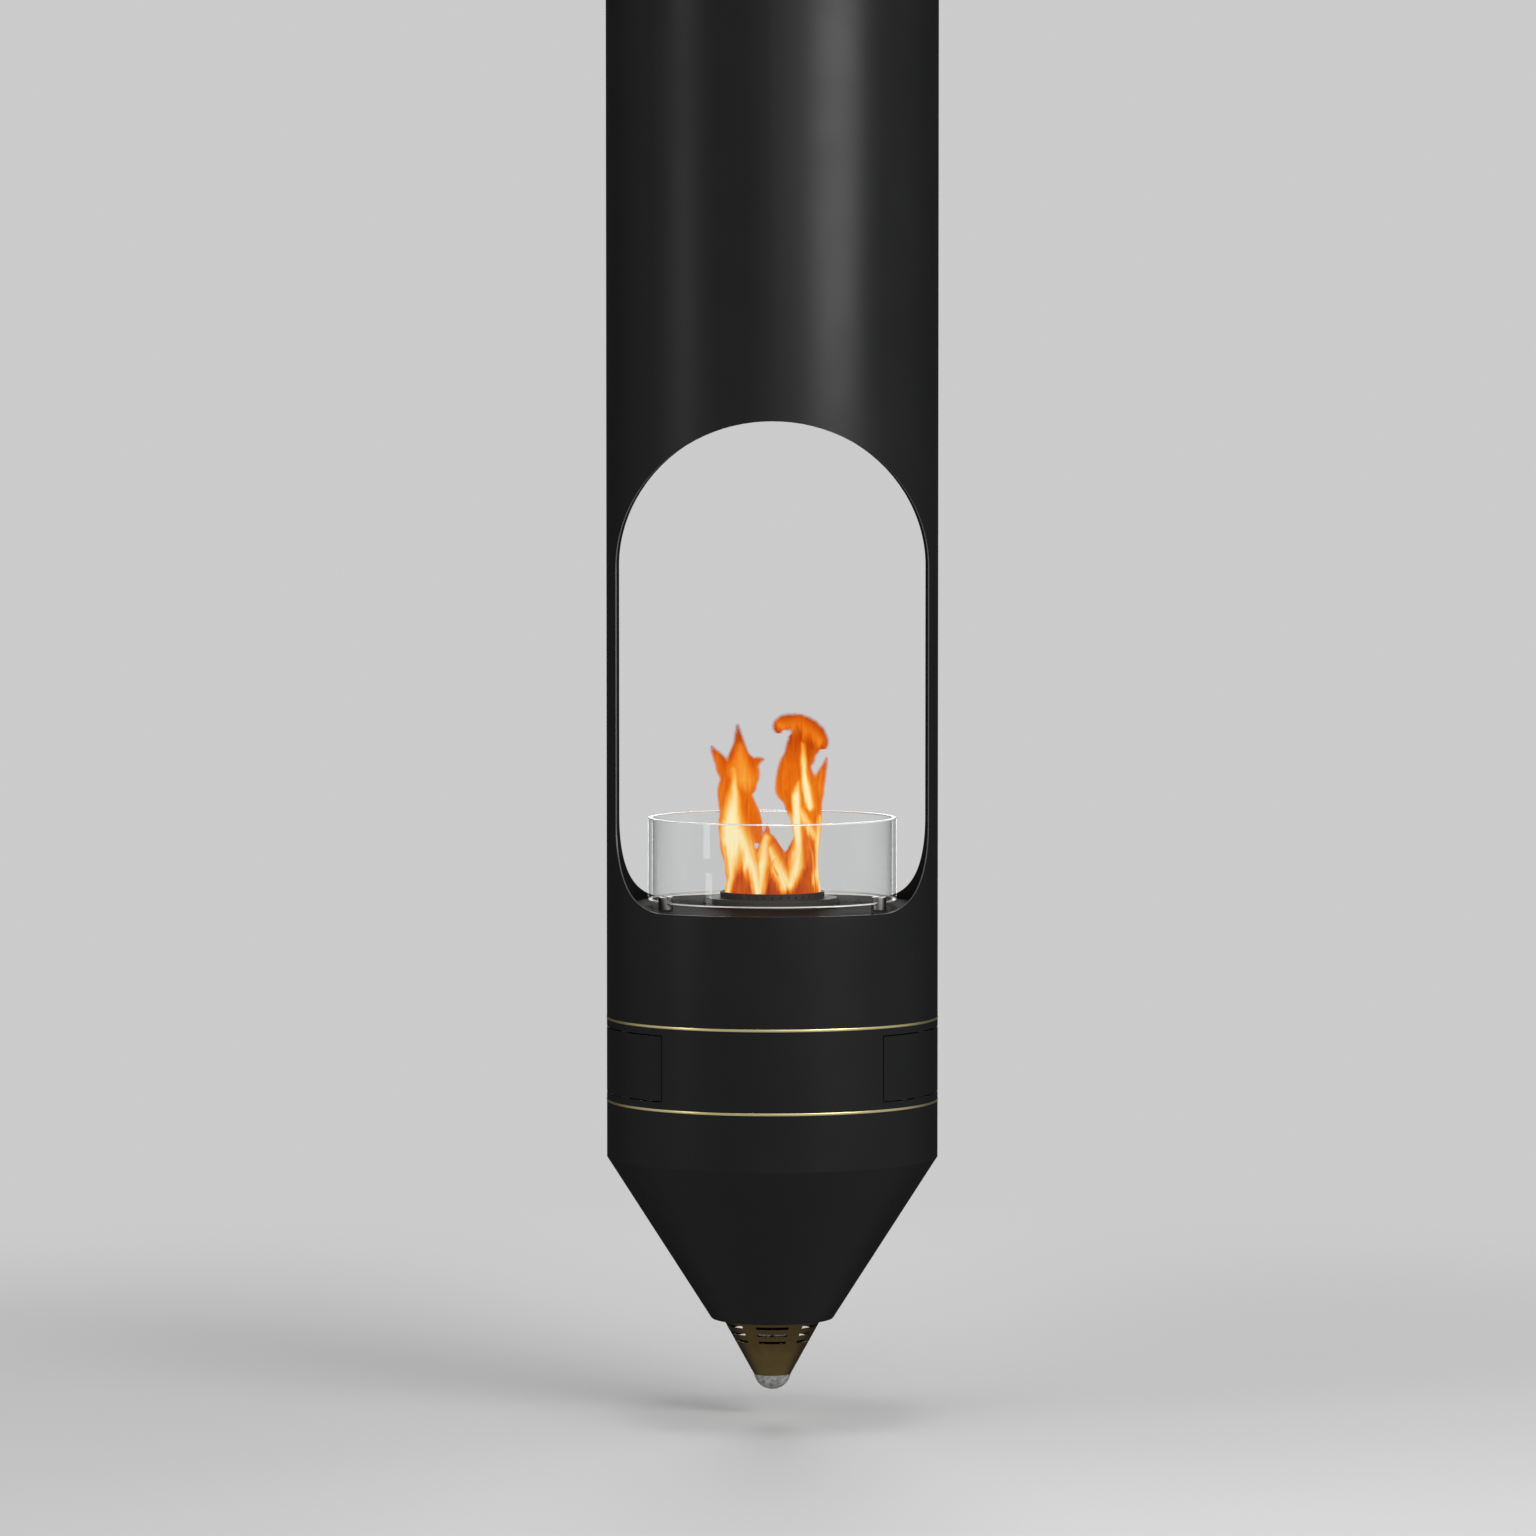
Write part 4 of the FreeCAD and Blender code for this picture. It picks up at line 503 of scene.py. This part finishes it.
igniter_ceramic, place = new_finish("igniter_ceramic")
scorch = place.grain(300.0, 4.0)
lay_on(igniter_ceramic, {
    "Base Color": scorch.blend((0.030, 0.030, 0.032), (0.085, 0.078, 0.072)),
    "Roughness": 0.45 + scorch * 0.3,
}, scorch, 0.04 * MM)
dress(igniter_ceramic, "igniter")
dress(STAINLESS, "flame_sensor")


# Flames
# Ethanol flames: a left and a right tongue, the right one curled over at its top, out of a low ring of fire.
# Three closed skins, one in another: two clear orange ones that soften the edge, and the bright body inside.
MOUTH_DEPTH = 3.5 * MM
FLAME_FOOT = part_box("burner_crown")[1].z - MOUTH_DEPTH
# Rows of sideways, forwards, height, half width and half depth, in millimetres from the burner's mouth.
TONGUES = [
    [(-34, 4, 1, 23, 20), (-34, 3, 16, 21, 19), (-36, 1, 34, 21, 19), (-43, 0, 62, 20, 18),
     (-45, -1, 81, 20, 17), (-44, -1, 97, 18, 15), (-45, 0, 112, 19, 15), (-43, 1, 128, 22, 16),
     (-38, 2, 143, 23, 15), (-38, 2, 156, 20, 13), (-40, 2, 168, 13, 10), (-40, 1, 182, 7, 7),
     (-41, 0, 194, 4, 4), (-42, 0, 206, 1, 1)],
    [(-50, 2, 132, 9, 8), (-58, 1, 150, 9, 7), (-64, 0, 163, 7, 5), (-70, -1, 172, 4, 3),
     (-74, -2, 180, 1, 1)],
    [(-32, 4, 146, 10, 9), (-24, 5, 156, 8, 7), (-17, 6, 161, 4.5, 4), (-9, 6, 163, 1, 1)],
    [(-31, 2, 120, 6, 8), (-26, 1, 104, 8, 9), (-21, 0, 88, 8.5, 9), (-19, 0, 74, 7, 8),
     (-19, 0, 62, 4.5, 5)],
    [(39, -3, 1, 19, 18), (40, -3, 18, 16, 17), (40, -2, 36, 15, 16), (42, 0, 60, 14, 15),
     (41, 0, 80, 17, 15), (40, 1, 95, 19, 15), (36, 2, 112, 22, 15), (30, 3, 130, 26, 15),
     (28, 3, 143, 23, 14), (29, 2, 157, 19, 12), (34, 1, 172, 19, 12), (39, 0, 186, 20, 12),
     (38, 0, 198, 17, 11), (33, 0, 207, 12, 9), (28, 0, 213, 7, 6)],
    [(48, 1, 104, 12, 11), (52, 0, 122, 10, 9), (57, -2, 138, 7, 7), (62, -3, 152, 4, 4),
     (66, -4, 166, 1, 1)],
    [(8, 0, 194, 3, 4), (8, 0, 201, 7.5, 7), (13, 0, 206, 9.5, 8), (24, 0, 208, 9.5, 9),
     (36, 0, 206, 10, 9), (47, 0, 199, 11, 10), (55, 0, 190, 11, 10), (59, 1, 182, 9, 8),
     (59, 1, 175, 5.5, 5)],
    [(-14, -6, 1, 16, 20), (-12, -6, 26, 14, 17), (-9, -4, 50, 10, 11), (-7, -3, 66, 6, 7),
     (-6, -3, 78, 3, 3), (-6, -3, 86, 1, 1)],
    [(6, -3, 30, 14, 12), (4, -3, 48, 11, 10), (1, -3, 60, 7, 7), (-2, -3, 71, 3, 3)],
    [(13, 4, 1, 18, 20), (15, 4, 20, 16, 17), (19, 3, 36, 12, 12), (25, 2, 50, 8, 9), (29, 2, 66, 4, 5)],
    [(-30, -34, 1, 14, 12), (-32, -33, 30, 12, 11), (-36, -29, 62, 9, 8), (-38, -24, 92, 5, 5),
     (-38, -20, 112, 1, 1)],
    [(28, 34, 1, 15, 12), (30, 33, 28, 13, 11), (34, 29, 60, 9, 9), (36, 24, 96, 5, 6),
     (35, 18, 122, 1, 1)],
    [(2, -42, 1, 15, 9), (2, -41, 18, 12, 8), (3, -37, 34, 6, 5), (3, -34, 46, 1, 1)],
    [(-4, 42, 1, 16, 9), (-4, 40, 20, 13, 8), (-3, 36, 38, 6, 5), (-2, 32, 50, 1, 1)],
    [(-38, 33, 1, 12, 10), (-39, 31, 30, 9, 9), (-42, 27, 66, 5, 6), (-43, 22, 90, 1, 1)],
    [(40, -31, 1, 12, 10), (41, -30, 26, 10, 9), (42, -25, 56, 6, 6), (42, -20, 84, 1, 1)],
]
# The hottest streaks, each along rows of sideways, height, half width and strength, from the same origin.
STREAKS = [
    [(-54, 0, 4, 0.95), (-51, 20, 5, 0.8), (-49, 42, 11, 0.85), (-47, 67, 15, 1.0), (-49, 98, 10, 0.85),
     (-48, 128, 5, 0.75), (-46, 152, 3, 0.35)],
    [(-17, 2, 5, 1.0), (-22, 28, 8, 0.95), (-32, 55, 10, 0.8), (-40, 78, 9, 0.7)],
    [(-16, 4, 5, 0.9), (-11, 38, 8, 0.85), (-7, 70, 4, 0.55)],
    [(17, 12, 8, 1.0), (6, 36, 8, 0.8), (-1, 56, 4, 0.5)],
    [(20, 12, 7, 1.0), (29, 36, 8, 0.85), (31, 61, 5, 0.8), (29, 95, 6, 1.0), (29, 119, 5, 0.9),
     (32, 136, 2, 0.3)],
    [(58, 0, 3.5, 0.95), (53, 26, 4.5, 1.0), (54, 55, 3.5, 0.7), (58, 92, 3, 0.45)],
    [(46, 106, 5, 0.8), (42, 128, 5, 1.0), (38, 154, 3.5, 0.85), (37, 182, 2.5, 0.4)],
    [(30, 106, 5, 0.55), (44, 84, 5, 0.55), (54, 66, 4, 0.5)],
    [(-36, 140, 12, 0.32), (-40, 178, 6, 0.25)],
    [(10, 204, 7, 0.25), (34, 206, 9, 0.22), (56, 186, 8, 0.28)],
]
FLAME_SIDES = 20
STEPS_BETWEEN = 6
# In millimetres: the height over which a skin's inset grows by once itself, and the thinnest half of a ring.
INSET_HEIGHT = 140
THINNEST_HALF = 0.5


def smooth_rows(rows):
    """The rows with others between them on a curve through all of them."""
    ends = [rows[0], *rows, rows[-1]]
    made = []
    for a, b, c, d in zip(ends, ends[1:], ends[2:], ends[3:]):
        for step in range(STEPS_BETWEEN):
            t = step / STEPS_BETWEEN
            made.append([0.5 * (2 * q + (r - p) * t + (2 * p - 5 * q + 4 * r - s) * t * t
                                + (3 * q - p - 3 * r + s) * t ** 3) for p, q, r, s in zip(a, b, c, d)])
    return made + [list(rows[-1])]


def tongue(rows, inset):
    """The skin of one tongue of flame, drawn in by half the inset at its foot and by more above."""
    rings = []
    path = smooth_rows(rows)
    for i, (x, y, z, half, deep) in enumerate(path):
        before, after = path[max(i - 1, 0)], path[min(i + 1, len(path) - 1)]
        along = Vector((after[0] - before[0], 0, after[2] - before[2])).normalized()
        across = Vector((along.z, 0, -along.x))
        drawn_in = inset * (0.5 + max(z, 0) / INSET_HEIGHT)
        if min(half, deep) < drawn_in + THINNEST_HALF:
            continue
        ring = []
        for j in range(FLAME_SIDES):
            angle = FULL_TURN * j / FLAME_SIDES
            broad = math.sin(3 * angle + z * 0.045 + x)
            fine = math.sin(5 * angle - z * 0.07 + y)
            ripple = 1 + 0.05 * broad + 0.04 * fine
            side = across * ((half - drawn_in) * ripple * math.cos(angle))
            spot = Vector((x, y + (deep - drawn_in) * ripple * math.sin(angle), z)) + side
            ring.append(spot * MM + Vector((0, 0, FLAME_FOOT)))
        rings.append(ring)
    centres = [sum(ring, Vector()) / len(ring) for ring in (rings[0], rings[-1])]
    return turned([[centres[0]], *rings, [centres[1]]], FLAME_SIDES)


HEAT_COLOURS = [
    (0.0, (0.24, 0.018, 0.002)), (0.16, (0.55, 0.065, 0.003)), (0.34, (0.84, 0.17, 0.006)),
    (0.52, (0.95, 0.34, 0.03)), (0.72, (1.0, 0.58, 0.15)), (0.95, (1.0, 0.86, 0.50)),
]


def fire(name, cooler, thin, thick):
    """A glowing skin: streaks of heat from the table, broken up by noise that is drawn out upwards."""
    finish, place = new_finish(name)
    lick = place.stretched(1.0, 1.0, 0.12).grain(170.0, 3.0, 0.9)
    wave = place.stretched(1.0, 1.0, 0.4).grain(42.0, 2.0, 0.5)
    x = place.part("X") * 1000 + (wave - 0.5) * 10 + (lick - 0.5) * 4
    z = (place.part("Z") - FLAME_FOOT) * 1000 + (lick - 0.5) * 16
    heat = 0.0
    for rows in STREAKS:
        for (x1, z1, wide1, hot1), (x2, z2, wide2, hot2) in zip(rows, rows[1:]):
            dx, dz = x2 - x1, z2 - z1
            far = dx * dx + dz * dz
            along = ((x - x1) * (dx / far) + (z - z1) * (dz / far)).held()
            off = ((x - x1 - along * dx) ** 2 + (z - z1 - along * dz) ** 2) ** 0.5
            reach = off.math("DIVIDE", off, along * (wide2 - wide1) + wide1)
            glow = (1 - reach * 0.6).between(0.0, 1.0) * (along * (hot2 - hot1) + hot1)
            heat = glow.math("MAXIMUM", glow, heat)
    body = z.between(15, 75) * 0.18 - z.between(120, 215) * 0.20 + 0.20 - cooler
    heat = heat * 0.82 + body + (lick - 0.5) * 0.46 + (wave - 0.5) * 0.30
    return lay_on(finish, {
        "Base Color": (0.0, 0.0, 0.0, 1.0),
        "Roughness": 1.0,
        "Specular IOR Level": 0.0,
        "Emission Color": heat.ramp(HEAT_COLOURS),
        "Emission Strength": 1.0,
        "Alpha": thin + heat.between(0.05, 0.6) * (thick - thin),
    })


# Each skin's name, its inset in millimetres and its finish, from the outermost inwards.
FLAME_SKINS = [
    ("flame_edge", -0.9, fire("flame_edge", 0.16, 0.12, 0.24)),
    ("flame_body", 0.0, fire("flame_body", 0.08, 0.36, 0.56)),
    ("flame_core", 0.9, fire("flame_core", 0.0, 1.0, 1.0)),
]
SKIN_GRAIN = 1.5 * MM
EASING_ROUNDS = 3
for name, inset, finish in FLAME_SKINS:
    skin = new_piece(name, [tongue(rows, inset) for rows in TONGUES], finish, "frame", 180)
    melt = skin.modifiers.new("melt", "REMESH")
    melt.mode = "VOXEL"
    melt.voxel_size = SKIN_GRAIN
    melt.use_smooth_shade = True
    ease = skin.modifiers.new("ease", "SMOOTH")
    ease.iterations = EASING_ROUNDS


# Insulation board, inner flanges, bulkheads, bolts, nuts and tie rods
# Laser-cut black plates, clamped by zinc-plated bolts; the board over them is the same fibre as the wick.
dress(FIBRE, "insulation_disc")
dress(BLACK_COAT, "shell_flanges", "upper_bulkhead", "lower_bulkhead")
dress(ZINC, "joint_bolts", "hex_nuts", "chassis_rods")


# Brass rings
# Two 3 mm rings of pale polished brass, lathe turned with softly crowned faces, with a little tarnish.
ring_brass, place = new_finish("ring_brass")
lines = place.stretched(1.0, 1.0, 60.0).grain(90.0, 4.0)
tarnish = place.grain(30.0, 5.0)
dulled = tarnish.between(0.45, 0.8) * 0.5 + lines * 0.2
lay_on(ring_brass, {
    "Base Color": dulled.blend((0.98, 0.86, 0.45), (0.84, 0.70, 0.32)),
    "Metallic": 0.97,
    "Roughness": 0.25 + tarnish * 0.10,
}, lines, 0.004 * MM)
RING_SIDES = 480
RING_STEPS = 12
RING_SEAT_DEPTH = 5 * MM
RING_CROWN = 0.7 * MM
for node in ("upper_brass_ring", "lower_brass_ring"):
    ring_low, ring_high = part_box(node)
    middle = (ring_low.z + ring_high.z) / 2
    half_height = (ring_high.z - ring_low.z) / 2
    seat = ring_high.x - RING_SEAT_DEPTH
    section = [circle(seat, ring_low.z, RING_SIDES)]
    for step in range(RING_STEPS + 1):
        bend = math.pi * (step / RING_STEPS - 0.5)
        swell = RING_CROWN * math.sqrt(abs(math.cos(bend)))
        rise = math.copysign(half_height * math.sqrt(abs(math.sin(bend))), bend)
        section.append(circle(ring_high.x - RING_CROWN + swell, middle + rise, RING_SIDES))
    section.append(circle(seat, ring_high.z, RING_SIDES))
    turned_ring = new_piece("turned_" + node, [turned(section, RING_SIDES, closed=True)], ring_brass, "frame")
    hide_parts(node)


# Hatch band, hatches, hinge pins and latches
# The band and its two curved hatches are cut from one tube and coated together; the latches are moulded.
def moulded(name, dark, light, rough):
    """A plastic with a fine leather grain."""
    finish, place = new_finish(name)
    leather = place.grain(1300.0, 3.0)
    cloud = place.grain(20.0, 3.0)
    return lay_on(finish, {
        "Base Color": (leather * 0.5 + cloud * 0.5).blend(dark, light),
        "Roughness": rough + (leather - 0.5) * 0.12 + (cloud - 0.5) * 0.08,
    }, leather, 0.03 * MM)


BLACK_PLASTIC = moulded("black_plastic", (0.014, 0.014, 0.015), (0.028, 0.028, 0.03), 0.46)
dress(BLACK_COAT, "hatch_band", "right_hatch", "left_hatch")
dress(STAINLESS, "hinge_pins")
dress(BLACK_PLASTIC, "latch_bodies", "right_latch_plunger", "left_latch_plunger")


# Partition plates, tank, straps, filler, level gauge, pump, battery and pipes
# Folded zinc-plated sheet round a stainless tank; cap, pump and battery are moulded, the float is white.
WHITE_PLASTIC = moulded("white_plastic", (0.66, 0.66, 0.64), (0.78, 0.78, 0.76), 0.42)
grey_plastic = moulded("grey_plastic", (0.14, 0.15, 0.16), (0.21, 0.22, 0.23), 0.48)
dress(ZINC, "partition_plates", "tank_straps")
dress(STAINLESS, "fuel_tank", "filler_neck", "level_stem", "fuel_pipes")
dress(BLACK_PLASTIC, "filler_cap")
dress(grey_plastic, "fuel_pump", "battery_pack")
dress(WHITE_PLASTIC, "level_float")


# Controls behind the right hatch
# A moulded box with a coated panel that holds a rocker switch, a white button and a charging socket.
dress(BLACK_COAT, "control_panel")
dress(BLACK_PLASTIC, "control_box", "power_switch", "charge_socket")
dress(WHITE_PLASTIC, "start_button")


# Lower shell, cone and cone base
# Spun and rolled steel with the same coat as the tube.
dress(BLACK_COAT, "lower_shell", "cone_shell", "cone_base")


# Lamp tip
# A slotted brass cone with a dark, brushed, antique finish, darkest towards its top. Inside it are a black
# anodised heat sink and a white LED board with a yellow lens, and under it sits a frosted dome.
# The heights over which the tip grows darker towards its top.
TOP_DARKENING_STARTS = 2.9 * MM
TOP_DARKENING_IS_FULL = 62.9 * MM
housing_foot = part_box("lamp_housing")[0].z
antique_brass, place = new_finish("antique_brass")
lines = place.stretched(1.0, 1.0, 40.0).grain(130.0, 5.0)
age = place.grain(46.0, 5.0, 0.5)
# Darker towards the top of the tip.
high_up = place.part("Z").between(housing_foot + TOP_DARKENING_STARTS, housing_foot + TOP_DARKENING_IS_FULL)
lay_on(antique_brass, {
    "Base Color": (age * 0.45 + lines * 0.2 + high_up * 0.4).blend((0.27, 0.19, 0.075), (0.09, 0.062, 0.024)),
    "Metallic": 1.0,
    "Roughness": 0.34 + (lines - 0.5) * 0.16 + age * 0.10,
}, lines, 0.012 * MM)
dress(antique_brass, "lamp_housing")

anodised = brushed("black_anodised", (0.018, 0.018, 0.019), (0.04, 0.04, 0.041), 0.42, 2600.0, 2600.0)
dress(anodised, "led_heatsink")

LENS_RADIUS = 4.7 * MM
LENS_BLUR = 0.5 * MM
board_white, place = new_finish("board_white")
lens = 1 - place.from_axis().between(LENS_RADIUS - LENS_BLUR, LENS_RADIUS + LENS_BLUR)
mask = place.grain(500.0, 3.0)
lay_on(board_white, {
    "Base Color": lens.blend(mask.blend((0.66, 0.67, 0.65), (0.76, 0.77, 0.75)), (0.80, 0.62, 0.10)),
    "Roughness": 0.28 + mask * 0.1,
}, mask, 0.01 * MM)
dress(board_white, "led_board")

frosted, place = new_finish("frosted_glass")
frost = place.grain(420.0, 6.0, 0.3)
blotch = place.grain(230.0, 6.0, 0.6)
mottle = blotch.between(0.3, 0.7) * 0.7 + frost * 0.3
lay_on(frosted, {
    "Base Color": mottle.blend((0.13, 0.135, 0.14), (0.62, 0.62, 0.60)),
    "Roughness": 0.34 + frost * 0.22,
    "Transmission Weight": 0.25,
    "Coat Weight": 0.3,
}, frost + blotch * 2.0, 0.12 * MM)
dress(frosted, "dome_lens")


# Lead to the lamp
# A thin black rubber-sheathed lead.
sheath, place = new_finish("rubber_sheath")
dust = place.grain(240.0, 4.0)
lay_on(sheath, {
    "Base Color": dust.blend((0.014, 0.014, 0.014), (0.035, 0.034, 0.033)),
    "Roughness": 0.6 + dust * 0.2,
}, dust, 0.03 * MM)
dress(sheath, "lamp_cable")


# Studio
# A plain pale floor that fades into the same pale background, soft lights, and the photograph's viewpoint.
# What mirrors sees a room that is lit in front of the object and dark behind it.
BACKGROUND = (0.60, 0.60, 0.60)
FLOOR_PLACE = (0, 0, -2.400)
FLOOR_RADIUS = 40.0
FADE_FROM = 0.6
FADE_TO = 2.4
bpy.ops.mesh.primitive_circle_add(vertices=96, radius=FLOOR_RADIUS, fill_type="NGON", location=FLOOR_PLACE)
floor = bpy.context.object
floor.name = "studio_floor"
pale, place = new_finish("studio_floor")
far = place.from_axis().between(FADE_FROM, FADE_TO)
tree = pale.node_tree
lay_on(pale, {"Base Color": (*BACKGROUND, 1.0), "Roughness": 0.7, "Specular IOR Level": 0.2})
glow = place.node("Emission", {}, {"Color": (*BACKGROUND, 1.0), "Strength": 1.0})
clear = place.node("BsdfTransparent", {}, {})
under = Value(tree.nodes.new("ShaderNodeNewGeometry").outputs["Backfacing"])
seamless = place.node("MixShader", {}, {0: far, 1: Value(tree.nodes["Principled BSDF"].outputs[0]), 2: glow})
shown = place.node("MixShader", {}, {0: under, 1: seamless, 2: clear})
tree.links.new(shown.socket, tree.nodes["Material Output"].inputs["Surface"])
floor.data.materials.append(pale)
floor.visible_glossy = False

FILL = (0.42, 0.42, 0.42)
ROOM_IN_FRONT = (0.34, 0.34, 0.34)
ROOM_BEHIND = (0.03, 0.03, 0.03)
world = bpy.data.worlds.new("studio")
bpy.context.scene.world = world
world.use_nodes = True
tree = world.node_tree
paths = tree.nodes.new("ShaderNodeLightPath")
seen = Value(paths.outputs["Is Camera Ray"])
seen = seen.math("MAXIMUM", seen, Value(paths.outputs["Is Transmission Ray"]))
behind = Value(tree.nodes.new("ShaderNodeTexCoord").outputs["Generated"]).part("Y").between(0.0, 0.8)
mirrored = Value(paths.outputs["Is Glossy Ray"]).blend(FILL, behind.blend(ROOM_IN_FRONT, ROOM_BEHIND))
tree.links.new(seen.blend(mirrored, BACKGROUND).socket, tree.nodes["Background"].inputs["Color"])


LIGHTS_AIM = Vector((0, 0, -1.4))


def soft_light(name, azimuth, distance, level, width, height, power):
    """A soft box round the object: azimuth 0 is the camera's side, and positive is to its right."""
    lamp = bpy.data.lights.new(name, "AREA")
    lamp.shape = "RECTANGLE"
    lamp.size = width
    lamp.size_y = height
    lamp.energy = power
    holder = bpy.data.objects.new(name, lamp)
    bpy.context.scene.collection.objects.link(holder)
    angle = math.radians(azimuth)
    holder.location = (distance * math.sin(angle), -distance * math.cos(angle), level)
    holder.rotation_euler = (LIGHTS_AIM - holder.location).to_track_quat("-Z", "Y").to_euler()
    holder.visible_camera = False


soft_light("key_light", 43, 3.2, -0.60, 1.7, 1.1, 68)
soft_light("front_light", 11, 3.2, -0.60, 1.4, 1.1, 9)
soft_light("edge_light", -62, 3.2, -0.95, 0.4, 1.8, 12)
soft_light("top_light", 0, 0.4, 2.6, 2.0, 2.0, 60)
soft_light("back_light", 180, 3.4, -1.10, 0.9, 2.0, 22)

ember = bpy.data.lights.new("fire_light", "POINT")
ember.energy = 0.35
ember.color = (1.0, 0.48, 0.16)
ember.shadow_soft_size = 35 * MM
fire_light = bpy.data.objects.new("fire_light", ember)
bpy.context.scene.collection.objects.link(fire_light)
fire_light.location = (0, -5 * MM, FLAME_FOOT + 75 * MM)
fire_light.visible_camera = False
fire_light.visible_glossy = False
fire_light.visible_transmission = False

PHOTO_PIXELS = 1536
FOCAL_PIXELS = 7139
SENSOR_WIDTH = 36.0
CAMERA_PLACE = (-0.0052, -8.606, -1.1602)
LOOKS_DOWN = 3.01
camera_data = bpy.data.cameras.new("camera")
camera_data.sensor_width = SENSOR_WIDTH
camera_data.lens = FOCAL_PIXELS / PHOTO_PIXELS * SENSOR_WIDTH
camera = bpy.data.objects.new("camera", camera_data)
bpy.context.scene.collection.objects.link(camera)
camera.location = CAMERA_PLACE
camera.rotation_euler = (math.radians(90 - LOOKS_DOWN), 0, 0)
bpy.context.scene.camera = camera
bpy.context.scene.view_settings.view_transform = "Standard"
